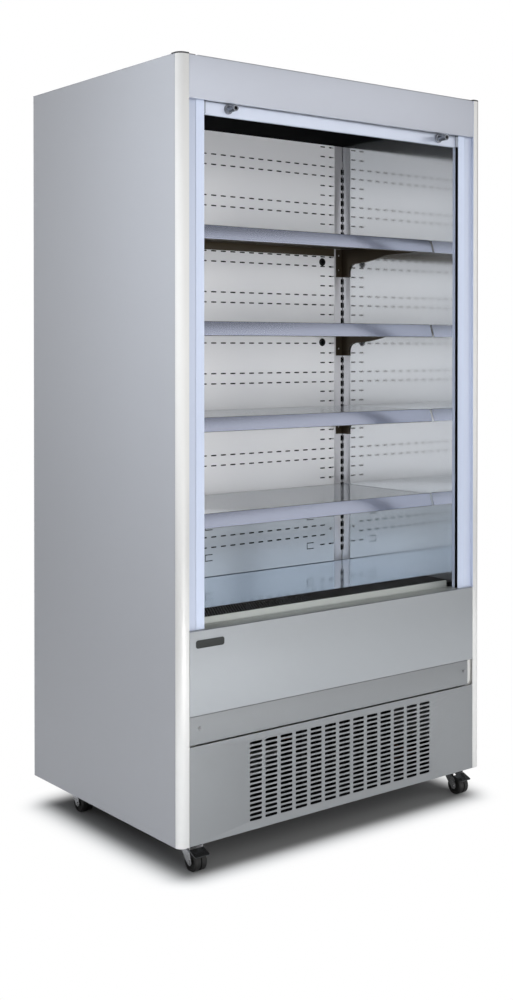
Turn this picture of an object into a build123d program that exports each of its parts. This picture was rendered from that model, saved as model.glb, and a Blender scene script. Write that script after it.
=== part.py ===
from build123d import *
import math
import os

os.makedirs("parts", exist_ok=True)

# Sizes in millimetres. X runs across the cabinet, Y from front to back, Z up.
# The origin lies on the floor, under the middle of the overall box.

# Cabinet body
width = 1050
depth = 720
body_bottom = 80
body_top = 1990
knob_reach = 18
seat_gap = 0.3
slide_gap = 0.1
bore_gap = 0.05
skin = 1.2

half = width / 2
front_y = knob_reach - (depth + knob_reach) / 2
skin_inside = half - skin


# Work planes. Depths are counted backwards from the faces of the corner posts.
def facing(d):
    """Upright plane across the cabinet, seen from the front: (x, height)."""
    return Plane(origin=(0, front_y + d, 0), x_dir=(1, 0, 0), z_dir=(0, -1, 0))


def level(z):
    """Level plane at height z: (x, depth)."""
    return Plane(origin=(0, front_y, z), x_dir=(1, 0, 0), z_dir=(0, 0, 1))


def upright(x):
    """Upright plane from front to back at x: (depth, height)."""
    return Plane(origin=(x, front_y, 0), x_dir=(0, 1, 0), z_dir=(1, 0, 0))


def block(x0, x1, d0, d1, z0, z1, mode=Mode.ADD):
    """Adds or cuts a rectangular block, given by its limits, in the open part."""
    with BuildSketch(level(z0)) as outline:
        with Locations(((x0 + x1) / 2, (d0 + d1) / 2)):
            Rectangle(x1 - x0, d1 - d0)
    extrude(outline.sketch, amount=z1 - z0, mode=mode)


def folded_sheet(points, thickness, x0, x1, bend, side=Side.LEFT):
    """Sheet folded along lines across the cabinet; points are (depth, height)."""
    with BuildPart() as sheet:
        with BuildSketch(upright(x0)):
            with BuildLine():
                FilletPolyline(*points, radius=bend)
                offset(amount=thickness, side=side)
            make_face()
        extrude(amount=x1 - x0)
    return sheet.part


def save(piece, name):
    """Names the finished piece and writes it to its own file."""
    piece.part.label = name
    export_step(piece.part, "parts/" + name + ".step")


# Corner posts: one folded sheet each, with a rounded outer corner and a step at
# the inner edge, in which the guide of the night blind stands.
post_sheet = 1.6
post_face = 30
post_radius = 18
post_width = 56
post_inner = half - post_width
flange_depth = 10.5
post_depth = 34
lap_step = 10
face_inner = half - post_face

with BuildPart() as corner_posts:
    with BuildSketch(level(body_bottom)):
        with BuildLine():
            lap = Polyline(
                (half - lap_step, post_depth),
                (half - lap_step, post_radius),
                (half, post_radius),
            )
            nose = JernArc(start=lap @ 1, tangent=(0, -1), radius=post_radius, arc_size=-90)
            Polyline(
                nose @ 1,
                (face_inner, 0),
                (face_inner, flange_depth),
                (post_inner, flange_depth),
                (post_inner, post_depth),
                (post_inner + 14, post_depth),
            )
            offset(amount=post_sheet, side=Side.LEFT)
        make_face()
    extrude(amount=body_top - body_bottom)
    mirror(about=Plane.YZ)
save(corner_posts, "corner_posts")

# Caps that close the tops of the posts, with a plug inside the rounded part
cap_height = 4
plug_depth = 10

with BuildPart() as post_caps:
    with BuildSketch(level(body_top)):
        with BuildLine():
            cap_side = Line((half, post_depth), (half, post_radius))
            cap_nose = JernArc(start=cap_side @ 1, tangent=(0, -1), radius=post_radius, arc_size=-90)
            Polyline(cap_nose @ 1, (face_inner, 0), (face_inner, flange_depth),
                     (post_inner, flange_depth), (post_inner, post_depth), (half, post_depth))
        make_face()
    extrude(amount=cap_height)
    fillet(post_caps.edges().group_by(Axis.Z)[-1], radius=1)
    plug_x0 = face_inner + post_sheet + seat_gap
    plug_x1 = half - lap_step - post_sheet - seat_gap
    block(plug_x0, plug_x1, 6, 14, body_top - plug_depth, body_top)
    mirror(about=Plane.YZ)
save(post_caps, "post_caps")

# Outer side panels: one sheet each, returned behind the post and at the rear
panel_front = post_radius + seat_gap
panel_back = depth - skin
rear_return = 20

with BuildPart() as side_panels:
    with BuildSketch(level(body_bottom)):
        with BuildLine():
            FilletPolyline(
                (half - lap_step + seat_gap, panel_front),
                (half, panel_front),
                (half, panel_back),
                (half - rear_return, panel_back),
                radius=1.5,
            )
            offset(amount=skin, side=Side.LEFT)
        make_face()
    extrude(amount=body_top - seat_gap - body_bottom)
    mirror(about=Plane.YZ)
save(side_panels, "side_panels")

# Base pan under the machine compartment, with two box rails for the casters
base_sheet = 2
pan_flange = 25
pan_half = skin_inside - seat_gap
pan_back = panel_back - skin - seat_gap
pan_front = flange_depth
rail_width = 52
rail_height = 22
floor_slot = (60, 10)
floor_slot_pitch = (90, 60)
front_swivel = 66
rear_swivel = 603

pan_outline = [
    (-pan_half, post_depth + 2),
    (-pan_half, pan_back),
    (pan_half, pan_back),
    (pan_half, post_depth + 2),
    (post_inner - seat_gap, post_depth + 2),
    (post_inner - seat_gap, pan_front),
    (-post_inner + seat_gap, pan_front),
    (-post_inner + seat_gap, post_depth + 2),
]
rail_half = pan_half - base_sheet

with BuildPart() as base_pan:
    with BuildSketch(level(body_bottom)):
        with BuildLine():
            Polyline(*pan_outline, close=True)
        make_face()
    extrude(amount=pan_flange)
    with BuildSketch(level(body_bottom + base_sheet)):
        with BuildLine():
            Polyline(*pan_outline, close=True)
        make_face()
        offset(amount=-base_sheet, kind=Kind.INTERSECTION)
    extrude(amount=pan_flange, mode=Mode.SUBTRACT)
    for swivel in (front_swivel, rear_swivel):
        block(-rail_half, rail_half, swivel - rail_width / 2, swivel + rail_width / 2,
              body_bottom + base_sheet, body_bottom + rail_height)
        block(-rail_half - 1, rail_half + 1, swivel - rail_width / 2 + base_sheet,
              swivel + rail_width / 2 - base_sheet, body_bottom + base_sheet,
              body_bottom + rail_height - base_sheet, mode=Mode.SUBTRACT)
    # Air inlet slots in the floor under the fan side
    with BuildSketch(level(body_bottom)):
        with Locations((0, (front_swivel + rear_swivel) / 2)):
            with GridLocations(*floor_slot_pitch, 6, 3):
                Rectangle(*floor_slot)
    extrude(amount=base_sheet, mode=Mode.SUBTRACT)
save(base_pan, "base_pan")
pan_floor = body_bottom + base_sheet + seat_gap

# Front apron: face and level ledge in one folded sheet
apron_bottom = 394
ledge_height = 600
ledge_depth = 52.7
apron_half = face_inner - seat_gap
hem = 10

with BuildPart() as apron:
    add(folded_sheet([(hem, apron_bottom), (0, apron_bottom), (0, ledge_height),
                      (ledge_depth, ledge_height)],
                     skin, -apron_half, apron_half, 1.5, Side.RIGHT))
    for s in (-1, 1):
        x0, x1 = sorted((s * (post_inner - seat_gap), s * (half + 1)))
        block(x0, x1, flange_depth - seat_gap, ledge_depth + 5, ledge_height - hem - 5,
              ledge_height + 5, mode=Mode.SUBTRACT)
save(apron, "apron")

# Screwed strip between the apron and the slotted panel
strip_face = 0.4
strip_height = 70
strip_bottom = apron_bottom - strip_height
strip_end = half - 50.4
screw_height = strip_bottom + 39.5
screw_left = 60 - half
screw_right = half - 65
screw_radius = 2
screw_head = 4.5
screw_head_height = 2.4

with BuildPart() as screw_strip:
    add(folded_sheet([(hem, apron_bottom - seat_gap), (strip_face, apron_bottom - seat_gap),
                      (strip_face, strip_bottom + seat_gap), (hem, strip_bottom + seat_gap)],
                     skin, -apron_half, strip_end, 1.5, Side.LEFT))
    with BuildSketch(facing(0)):
        with Locations((screw_left, screw_height), (screw_right, screw_height)):
            Circle(screw_radius + slide_gap)
    extrude(amount=-hem, mode=Mode.SUBTRACT)
save(screw_strip, "screw_strip")

with BuildPart() as panel_screws:
    with BuildSketch(facing(strip_face)):
        with Locations((screw_left, screw_height), (screw_right, screw_height)):
            Circle(screw_head)
    extrude(amount=screw_head_height)
    chamfer(panel_screws.edges().group_by(Axis.Y)[0], length=screw_head_height / 3)
    with BuildSketch(facing(strip_face)):
        with Locations((screw_left, screw_height), (screw_right, screw_height)):
            Circle(screw_radius)
    extrude(amount=-hem)
save(panel_screws, "panel_screws")

# Slotted panel in front of the machine compartment, with returned edges
slot_columns = 13
slot_rows = 17
slot_pitch_x = 49.5
slot_pitch_z = 12
slot_length = 39
slot_height = 7.5
slots_centre = (5, (body_bottom + strip_bottom) / 2)

with BuildPart() as vent_panel:
    block(-apron_half, apron_half, strip_face, flange_depth - seat_gap,
          body_bottom + seat_gap, strip_bottom - seat_gap)
    block(-apron_half + skin, apron_half - skin, strip_face + skin, flange_depth,
          body_bottom + seat_gap + skin, strip_bottom - seat_gap - skin, mode=Mode.SUBTRACT)
    with BuildSketch(facing(strip_face)):
        with Locations(slots_centre):
            with GridLocations(slot_pitch_x, slot_pitch_z, slot_columns, slot_rows):
                Rectangle(slot_length, slot_height)
    extrude(amount=-skin, mode=Mode.SUBTRACT)
save(vent_panel, "vent_panel")

# Fascia over the opening
fascia_height = 104
fascia_bottom = body_top - fascia_height
fascia_face = 1

with BuildPart() as fascia:
    add(folded_sheet([(flange_depth - seat_gap, body_top), (fascia_face, body_top),
                      (fascia_face, fascia_bottom), (flange_depth - 1.5, fascia_bottom)],
                     skin, -apron_half, apron_half, 1.5, Side.LEFT))
save(fascia, "fascia")

# Roof: flat lid, cut back round the post caps
with BuildPart() as roof_panel:
    with BuildSketch(level(body_top)):
        roof_cut = post_depth + seat_gap
        with BuildLine():
            Polyline(
                (-half, roof_cut), (-half, depth), (half, depth), (half, roof_cut),
                (post_inner - seat_gap, roof_cut), (post_inner - seat_gap, fascia_face),
                (-post_inner + seat_gap, fascia_face), (-post_inner + seat_gap, roof_cut),
                close=True,
            )
        make_face()
    extrude(amount=skin)
save(roof_panel, "roof_panel")

# Rear panel with air slots over the machine compartment
rear_slot = (100, 8)
rear_slot_pitch = (130, 22)
rear_slot_height = 220
inlet_x = 125 - half
inlet_height = 345
inlet_radius = 11

with BuildPart() as back_panel:
    block(-half + 2, half - 2, depth - skin, depth, body_bottom, body_top - seat_gap)
    with BuildSketch(facing(depth)):
        with Locations((0, rear_slot_height)):
            with GridLocations(*rear_slot_pitch, 6, 9):
                Rectangle(*rear_slot)
        with Locations((inlet_x, inlet_height)):
            Circle(inlet_radius)
    extrude(amount=skin, mode=Mode.SUBTRACT)
save(back_panel, "back_panel")

# Foamed insulation: sides, back, top, floor and the wall behind the apron
wall_thickness = 40.7
wall_inside = half - wall_thickness
foam_front = 36
foam_back_inside = 676
floor_thickness = 40
foam_floor_top = apron_bottom + floor_thickness
canopy_height = 67.5
duct_height = 25.2
ceiling_height = body_top - canopy_height
foam_ceiling = ceiling_height + duct_height
foam_front_wall = 53
canopy_depth = 62
pipe_radius = 4
liquid_hole = (half - 125, 600)
suction_hole = (half - 165, 630)

with BuildPart() as insulation:
    block(-pan_half, pan_half, foam_front, panel_back - skin - seat_gap,
          apron_bottom + seat_gap, body_top - 2)
    block(-wall_inside, wall_inside, foam_front - 1, foam_back_inside,
          foam_floor_top, foam_ceiling, mode=Mode.SUBTRACT)
    block(-wall_inside, wall_inside, foam_front - 1, canopy_depth,
          foam_floor_top, body_top, mode=Mode.SUBTRACT)
    block(-post_inner + seat_gap, post_inner - seat_gap, 2, foam_front_wall,
          apron_bottom + 2, ledge_height - skin - seat_gap)
    with BuildSketch(level(apron_bottom)):
        with Locations(liquid_hole, suction_hole):
            Circle(pipe_radius + seat_gap)
    extrude(amount=foam_floor_top - apron_bottom, mode=Mode.SUBTRACT)
save(insulation, "insulation")

# Polished side liners
liner_sheet = 1
liner_face = wall_inside - liner_sheet - seat_gap

with BuildPart() as side_liners:
    block(liner_face, liner_face + liner_sheet, foam_front + seat_gap, foam_back_inside - seat_gap,
          foam_floor_top + seat_gap, foam_ceiling - seat_gap)
    mirror(about=Plane.YZ)
save(side_liners, "side_liners")

# Inner liner: pan under the deck, rear wall and ceiling in one folded sheet
inner_half = liner_face - seat_gap
pan_wall = foam_front_wall + seat_gap
liner_floor = foam_floor_top + seat_gap

with BuildPart() as inner_liner:
    add(folded_sheet([(pan_wall, ledge_height - 3), (pan_wall, liner_floor),
                      (foam_back_inside - seat_gap, liner_floor),
                      (foam_back_inside - seat_gap, foam_ceiling - seat_gap),
                      (canopy_depth + seat_gap, foam_ceiling - seat_gap)],
                     liner_sheet, -inner_half, inner_half, 3, Side.LEFT))
    # Opening for the two refrigerant lines
    with BuildSketch(level(foam_floor_top)):
        with Locations(liquid_hole, suction_hole):
            Circle(pipe_radius + seat_gap)
    extrude(amount=5, mode=Mode.SUBTRACT)
save(inner_liner, "inner_liner")
tub_floor = liner_floor + liner_sheet + seat_gap

# Guides of the night blind, one in the step of each post
guide_width = 25
guide_inner = post_inner - seat_gap - guide_width
guide_outer = post_inner - seat_gap
groove_front = 12
groove_back = 21.7
guide_back = 32.2
groove_end = post_inner - 4
guide_wall = 1.3
roller_drop = 53
roller_height = body_top - roller_drop
roll_radius = 20
guide_top = roller_height - roll_radius - 2

with BuildPart() as blind_guides:
    with BuildSketch(level(ledge_height + seat_gap)):
        with BuildLine():
            Polyline(
                (guide_inner, flange_depth), (guide_outer, flange_depth),
                (guide_outer, guide_back), (guide_inner, guide_back),
                (guide_inner, groove_back), (groove_end, groove_back),
                (groove_end, groove_front), (guide_inner, groove_front),
                close=True,
            )
        make_face()
        with Locations(((guide_inner + guide_outer) / 2, (groove_back + guide_back) / 2)):
            Rectangle(guide_outer - guide_inner - 2 * guide_wall,
                      guide_back - groove_back - 2 * guide_wall, mode=Mode.SUBTRACT)
    extrude(amount=guide_top - ledge_height - seat_gap)
    mirror(about=Plane.YZ)
save(blind_guides, "blind_guides")

# Light-coloured nosing that carries the front edge of the return air grille
lip_face = 53
lip_top = ledge_height + 18
lip_sheet = 1
lip_foot = 8
lip_edge = 5
lip_seat = 10
grille_seat = ledge_height + 3
lip_base = ledge_height + seat_gap + lip_sheet
lip_front = lip_face + lip_sheet
lip_back = lip_front + lip_edge

with BuildPart() as front_lip:
    add(folded_sheet([(ledge_depth - lip_foot, lip_base), (lip_front, lip_base),
                      (lip_front, lip_top), (lip_back, lip_top),
                      (lip_back, grille_seat), (lip_back + lip_seat, grille_seat)],
                     lip_sheet, -guide_inner + seat_gap, guide_inner - seat_gap, 1, Side.RIGHT))
save(front_lip, "front_lip")

# Deck and return air grille over the evaporator
deck_height = ledge_height + 11
deck_front = 177.6
back_wall = 548
deck_sheet = 1.2
grille_top = deck_height

with BuildPart() as deck_plate:
    add(folded_sheet([(deck_front, deck_height - 20), (deck_front, deck_height),
                      (back_wall + 20, deck_height)],
                     deck_sheet, -inner_half, inner_half, 1.5, Side.RIGHT))
save(deck_plate, "deck_plate")

grille_cell = (30, 26)
grille_pitch = (38, 34)
grille_columns = int((2 * inner_half - 12) // grille_pitch[0])
grille_front = lip_back + lip_sheet + seat_gap
with BuildPart() as return_grille:
    block(-inner_half, inner_half, grille_front, deck_front - seat_gap,
          grille_seat + seat_gap, grille_top)
    with BuildSketch(level(grille_seat)):
        with Locations((0, (grille_front + deck_front) / 2)):
            with GridLocations(*grille_pitch, grille_columns, 3):
                Rectangle(*grille_cell)
    extrude(amount=grille_top, mode=Mode.SUBTRACT)
save(return_grille, "return_grille")

# Slotted uprights at the rear corners
column_width = 33
column_inner = inner_half - column_width
column_sheet = 2
column_depth = 25
column_bottom = deck_height + seat_gap
hole_pitch = 24.8
hole_height = 18
hole_width = 6
hole_x = inner_half - 3.3
top_shelf = deck_height + 40 * hole_pitch - 0.5
shelf_pitch = 10 * hole_pitch
shelf_count = 4
hook_drop = 33
hole_rows = 50
first_hole = top_shelf + 12 * hole_pitch - hook_drop

with BuildPart() as slotted_uprights:
    with BuildSketch(level(column_bottom)):
        with BuildLine():
            Polyline(
                (column_inner, back_wall + column_depth), (column_inner, back_wall),
                (inner_half, back_wall), (inner_half, back_wall + column_depth),
            )
            offset(amount=column_sheet, side=Side.LEFT, kind=Kind.INTERSECTION)
        make_face()
    extrude(amount=ceiling_height - seat_gap - column_bottom)
    with BuildSketch(facing(back_wall)):
        for row in range(hole_rows):
            with Locations((hole_x, first_hole - row * hole_pitch)):
                Rectangle(hole_width, hole_height)
    extrude(amount=-column_sheet, mode=Mode.SUBTRACT)
    mirror(about=Plane.YZ)
save(slotted_uprights, "slotted_uprights")

# Back wall: perforated air panel above, plain panel with lanced tabs below
panel_split = deck_height + 189
panel_half = column_inner - seat_gap
panel_return = 14
grommet_x = panel_half - 51
grommet_hole = 9
grommet_rim = 3
grommet_flange = 2
grommet_depth = 6
grommet_drops = (48, 51.5)
grommet_points = [
    (side * grommet_x, top_shelf - n * shelf_pitch - drop)
    for n, drop in enumerate(grommet_drops)
    for side in (-1, 1)
]
tab_heights = (deck_height + 56.7, deck_height + 147.5)
tab_pitch = 390.7
tab_middle = -40.5
tab_width = 28
tab_rise = 20.5
tab_cut = 2.5

with BuildPart() as rear_air_panel:
    block(-panel_half, panel_half, back_wall, back_wall + panel_return,
          panel_split + seat_gap, ceiling_height - seat_gap)
    block(-panel_half + skin, panel_half - skin, back_wall + skin, back_wall + panel_return + 1,
          panel_split + seat_gap + skin, ceiling_height - seat_gap - skin, mode=Mode.SUBTRACT)
    with BuildSketch(facing(back_wall)):
        with Locations(*grommet_points):
            Circle(grommet_hole)
    extrude(amount=-skin, mode=Mode.SUBTRACT)
save(rear_air_panel, "rear_air_panel")

lower_panel_bottom = deck_height + 1.5
with BuildPart() as lower_back_panel:
    block(-panel_half, panel_half, back_wall, back_wall + panel_return,
          lower_panel_bottom, panel_split)
    block(-panel_half + skin, panel_half - skin, back_wall + skin, back_wall + panel_return + 1,
          lower_panel_bottom - 1, panel_split - skin, mode=Mode.SUBTRACT)
    with BuildSketch(facing(back_wall)):
        for height in tab_heights:
            with Locations((tab_middle, height)):
                with GridLocations(tab_pitch, 0, 3, 1):
                    Rectangle(tab_width, tab_rise)
                    with Locations((tab_cut, 0)):
                        Rectangle(tab_width, tab_rise - 2 * tab_cut, mode=Mode.SUBTRACT)
    extrude(amount=-skin, mode=Mode.SUBTRACT)
save(lower_back_panel, "lower_back_panel")

# Cable grommets in the back wall under the two upper shelves
with BuildPart() as cable_grommets:
    with BuildSketch(facing(back_wall - seat_gap)):
        with Locations(*grommet_points):
            Circle(grommet_hole + grommet_rim)
    extrude(amount=grommet_flange)
    with BuildSketch(facing(back_wall - seat_gap)):
        with Locations(*grommet_points):
            Circle(grommet_hole - slide_gap)
    extrude(amount=-grommet_depth)
save(cable_grommets, "cable_grommets")

# Ceiling of the display space, with the air discharge grille in front of it
discharge_back = 160
discharge_cell = (32, 24)
discharge_pitch = (38, 30)
grille_body = 14
discharge_bottom = ceiling_height - 6

with BuildPart() as ceiling_panel:
    add(folded_sheet([(discharge_back + seat_gap, ceiling_height + 16),
                      (discharge_back + seat_gap, ceiling_height),
                      (back_wall + 10, ceiling_height)],
                     deck_sheet, -inner_half, inner_half, 1.5, Side.LEFT))
save(ceiling_panel, "ceiling_panel")

with BuildPart() as air_discharge_grille:
    block(-inner_half, inner_half, canopy_depth + 1, discharge_back,
          discharge_bottom, discharge_bottom + grille_body)
    with BuildSketch(level(discharge_bottom - 1)):
        with Locations((0, (canopy_depth + 1 + discharge_back) / 2)):
            with GridLocations(*discharge_pitch, grille_columns, 3):
                Rectangle(*discharge_cell)
    extrude(amount=2 * grille_body, mode=Mode.SUBTRACT)
save(air_discharge_grille, "air_discharge_grille")

# Shelves: plate and inclined price rail folded from one sheet
rail_top_depth = 158
rail_bottom_depth = 145.8
rail_height_face = 37
rail_slope = 16
rail_return = (7, 1.5)
plate_drop = 4
shelf_half = liner_face - 2
shelf_back = back_wall - 4
shelf_flange = 25
shelf_tops = [top_shelf - n * shelf_pitch for n in range(shelf_count)]

for n, top in enumerate(shelf_tops):
    plate = top - plate_drop
    with BuildPart() as shelf:
        add(folded_sheet([(shelf_back, plate), (rail_top_depth + rail_slope, plate),
                          (rail_top_depth, top), (rail_bottom_depth, top - rail_height_face),
                          (rail_bottom_depth + rail_return[0],
                           top - rail_height_face - rail_return[1])],
                         skin, -shelf_half, shelf_half, 2, Side.LEFT))
        # Stiffening flange along the rear edge, between the brackets
        block(-panel_half + 5, panel_half - 5, shelf_back - skin, shelf_back,
              plate - shelf_flange, plate)
    save(shelf, "shelf_" + str(n + 1))

# Brackets: hooked tapered arms under both ends of every shelf
arm_sheet = 2.2
arm_outer = hole_x + arm_sheet / 2
arm_front = rail_top_depth + 10
arm_rear_drop = 88
arm_front_drop = 26
arm_back = back_wall - seat_gap
hook_plate_inner = hole_x - 24.4
hook_plate_sheet = 2
hook_reach = 4
hook_rise = 6
hook_throat = 7
hook_tip = 14
arm_shoulder = (200, 29)
arm_belly = (130, 42.5)
arm_neck = (62, 48)
arm_fillet = 28
rivet_hole = 3
rivet_drops = (20, 66)

with BuildPart() as shelf_brackets:
    for top in shelf_tops:
        under = top - plate_drop - skin - seat_gap
        hook_mid = top - hook_drop
        with BuildSketch(upright(hole_x - arm_sheet / 2)):
            with BuildLine():
                shoulder, belly, neck = [(arm_back - run, under - drop)
                                         for run, drop in (arm_shoulder, arm_belly, arm_neck)]
                heel = (neck[0] + arm_fillet, neck[1] - arm_fillet)
                bend_run = arm_fillet * math.sin(math.radians(45))
                Polyline(shoulder, (arm_front, under - arm_front_drop), (arm_front, under),
                         (arm_back, under), (arm_back, under - arm_rear_drop),
                         (heel[0], under - arm_rear_drop), heel)
                ThreePointArc(heel, (neck[0] + bend_run, heel[1] + bend_run), neck)
                ThreePointArc(neck, belly, shoulder)
            make_face()
            # Two hooks through neighbouring slots of the upright
            for step in (0, 1):
                z = hook_mid - step * hole_pitch
                root = column_sheet + 2 * seat_gap
                with BuildLine():
                    Polyline((arm_back, z + hook_rise), (arm_back + root + hook_reach, z + hook_rise),
                             (arm_back + root + hook_reach, z - hook_tip),
                             (arm_back + root, z - hook_tip), (arm_back + root, z - hook_throat),
                             (arm_back, z - hook_throat), close=True)
                make_face()
        extrude(amount=arm_sheet)
        # Plate that lies flat against the upright
        block(hook_plate_inner, hole_x - arm_sheet / 2, arm_back - hook_plate_sheet, arm_back,
              under - arm_rear_drop, under)
        rivet_x = (hook_plate_inner + hole_x) / 2 - arm_sheet / 2
        with BuildSketch(facing(arm_back)):
            with Locations(*[(rivet_x, under - drop) for drop in rivet_drops]):
                Circle(rivet_hole)
        extrude(amount=hook_plate_sheet, mode=Mode.SUBTRACT)
    mirror(about=Plane.YZ)
save(shelf_brackets, "shelf_brackets")

# Night blind: bar, end sliders, pull knobs, roller and hanging fabric
bar_half = guide_inner - 6.7
bar_front = 15.8
bar_back = 22
bar_height = 34
bar_top = fascia_bottom + 1
bar_bottom = bar_top - bar_height
bar_wall = 1.2
knob_x = bar_half - 69
knob_drop = 15
knob_height = bar_top - knob_drop
knob_stud = 2.5
fabric_depth = 18.9
fabric_sheet = 0.5
fabric_half = bar_half - 7
slot_half = 0.5

with BuildPart() as blind_bar:
    block(-bar_half, bar_half, bar_front, bar_back, bar_bottom, bar_top)
    block(-bar_half, bar_half, bar_front + bar_wall, bar_back - bar_wall,
          bar_bottom + bar_wall, bar_top - bar_wall, mode=Mode.SUBTRACT)
    block(-bar_half, bar_half, fabric_depth - slot_half, fabric_depth + slot_half,
          bar_top - bar_wall, bar_top, mode=Mode.SUBTRACT)
    with BuildSketch(facing(bar_front)):
        with Locations((-knob_x, knob_height), (knob_x, knob_height)):
            Circle(knob_stud + slide_gap)
    extrude(amount=-bar_wall, mode=Mode.SUBTRACT)
save(blind_bar, "blind_bar")

with BuildPart() as blind_sliders:
    block(bar_half + seat_gap, groove_end - 2, groove_front + slide_gap, groove_back - slide_gap,
          bar_bottom + 2, bar_top - 2)
    fillet(blind_sliders.edges().filter_by(Axis.Y), radius=2)
    block(bar_half - 20, bar_half + 5, bar_front + bar_wall + slide_gap,
          bar_back - bar_wall - slide_gap, bar_bottom + 8, bar_top - 8)
    mirror(about=Plane.YZ)
save(blind_sliders, "blind_sliders")

knob_base_radius = 12.2
knob_tube_radius = 8
knob_bore = 4.7
knob_bore_depth = 14
knob_base_height = 4

with BuildPart() as blind_knobs:
    with BuildSketch(facing(bar_front)):
        with Locations((knob_x, knob_height)):
            Circle(knob_base_radius)
    extrude(amount=knob_base_height)
    with BuildSketch(facing(bar_front - knob_base_height)):
        with Locations((knob_x, knob_height)):
            Circle(knob_tube_radius)
    extrude(amount=bar_front - knob_base_height + knob_reach)
    with BuildSketch(facing(-knob_reach)):
        with Locations((knob_x, knob_height)):
            Circle(knob_bore)
    extrude(amount=-knob_bore_depth, mode=Mode.SUBTRACT)
    with BuildSketch(facing(bar_front)):
        with Locations((knob_x, knob_height)):
            Circle(knob_stud)
    extrude(amount=-(bar_wall + 1))
    mirror(about=Plane.YZ)
save(blind_knobs, "blind_knobs")

tube_bore = 14.5
roller_half = bar_half - 3
pin_radius = 4
roller_depth = fabric_depth + fabric_sheet / 2 + seat_gap + roll_radius
bracket_x = bar_half + 1.5
bracket_sheet = 2

with BuildPart() as blind_fabric:
    block(-fabric_half, fabric_half, fabric_depth - fabric_sheet / 2,
          fabric_depth + fabric_sheet / 2, bar_top - bar_wall - 1, roller_height)
save(blind_fabric, "blind_fabric")

with BuildPart() as blind_roller:
    with BuildSketch(upright(-roller_half)):
        with Locations((roller_depth, roller_height)):
            Circle(roll_radius)
            Circle(tube_bore, mode=Mode.SUBTRACT)
    extrude(amount=2 * roller_half)
    for s in (-1, 1):
        with BuildSketch(upright(s * roller_half)):
            with Locations((roller_depth, roller_height)):
                Circle(tube_bore)
        extrude(amount=-s * 12)
        with BuildSketch(upright(s * roller_half)):
            with Locations((roller_depth, roller_height)):
                Circle(pin_radius)
        extrude(amount=s * (bracket_x + bracket_sheet + 1 - roller_half))
save(blind_roller, "blind_roller")

with BuildPart() as roller_brackets:
    foot = guide_top + seat_gap
    with BuildSketch(upright(bracket_x)):
        with BuildLine():
            Polyline((groove_back + 1, foot), (roller_depth + 14, foot),
                     (roller_depth + 14, roller_height + 12), (groove_back + 1, roller_height + 12),
                     close=True)
        make_face()
        with Locations((roller_depth, roller_height)):
            Circle(pin_radius + bore_gap, mode=Mode.SUBTRACT)
    extrude(amount=bracket_sheet)
    block(bracket_x, guide_outer - 2, groove_back + 1, guide_back, foot, foot + bracket_sheet)
    mirror(about=Plane.YZ)
save(roller_brackets, "roller_brackets")

# Evaporator under the deck, blown through by two fans in a cross plate
coil_half = inner_half - 52.7
fin_slot = 34
fin_pitch = 40
fin_depth = 12
coil_front = 330
coil_back = 540
coil_top = ledge_height - 15
fan_plate_depth = 250
evap_fan_x = coil_half / 2
evap_fan_radius = 62
fan_clearance = 22.4
evap_fan_height = tub_floor + evap_fan_radius + fan_clearance
shaft_radius = 3
plate_sheet = 1.2

with BuildPart() as evaporator_coil:
    block(-coil_half, coil_half, coil_front, coil_back, tub_floor, coil_top)
    with BuildSketch(level(coil_top)):
        with Locations((0, (coil_front + coil_back) / 2)):
            with GridLocations(fin_pitch, 0, int((2 * coil_half - 10) // fin_pitch), 1):
                Rectangle(fin_slot, coil_back - coil_front + 2)
    extrude(amount=-fin_depth, mode=Mode.SUBTRACT)
save(evaporator_coil, "evaporator_coil")

with BuildPart() as evaporator_fan_plate:
    block(-inner_half + 1, inner_half - 1, fan_plate_depth, fan_plate_depth + plate_sheet,
          tub_floor, deck_height - deck_sheet - seat_gap)
    block(-inner_half + 1, inner_half - 1, fan_plate_depth, fan_plate_depth + 15,
          tub_floor, tub_floor + plate_sheet)
    with BuildSketch(facing(fan_plate_depth)):
        with Locations((-evap_fan_x, evap_fan_height), (evap_fan_x, evap_fan_height)):
            Circle(evap_fan_radius + 3)
    extrude(amount=-plate_sheet, mode=Mode.SUBTRACT)
save(evaporator_fan_plate, "evaporator_fan_plate")


def motor(x, d, z, radius, length, span):
    """Fan motor on a cross strip; its shaft points to the front."""
    strip = 2
    with BuildPart() as made:
        block(x - span, x + span, d, d + strip, z - 9, z + 9)
        with BuildSketch(facing(d + strip)):
            with Locations((x, z)):
                Circle(radius)
        extrude(amount=-length)
        chamfer(made.edges().group_by(Axis.Y)[-1], length=length / 10)
        with BuildSketch(facing(d)):
            with Locations((x, z)):
                Circle(shaft_radius)
        extrude(amount=24)
    return made.part


def axial_fan(x, d, z, tip, hub, length, blades):
    """Fan wheel whose rear face lies at depth d."""
    with BuildPart() as made:
        with BuildSketch(facing(d)):
            with Locations((x, z)):
                Circle(hub)
        extrude(amount=length)
        centre = Plane(origin=(x, front_y + d - length / 2, z), x_dir=(1, 0, 0), z_dir=(0, -1, 0))
        with Locations(centre):
            with PolarLocations((tip + hub) / 2 - 1, blades):
                Box(tip - hub + 2, 1.6, length * 1.25, rotation=(50, 0, 0))
        with BuildSketch(facing(d)):
            with Locations((x, z)):
                Circle(shaft_radius + bore_gap)
        extrude(amount=length, mode=Mode.SUBTRACT)
    return made.part


strip_depth = fan_plate_depth + plate_sheet + seat_gap
with BuildPart() as evaporator_fan_motors:
    for x in (-evap_fan_x, evap_fan_x):
        add(motor(x, strip_depth, evap_fan_height, 24, 40, evap_fan_radius + 12))
save(evaporator_fan_motors, "evaporator_fan_motors")

for side_name, x in (("left", -evap_fan_x), ("right", evap_fan_x)):
    with BuildPart() as fan:
        add(axial_fan(x, strip_depth - 3, evap_fan_height, evap_fan_radius, 15, 16, 5))
    save(fan, "evaporator_fan_" + side_name)

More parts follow.
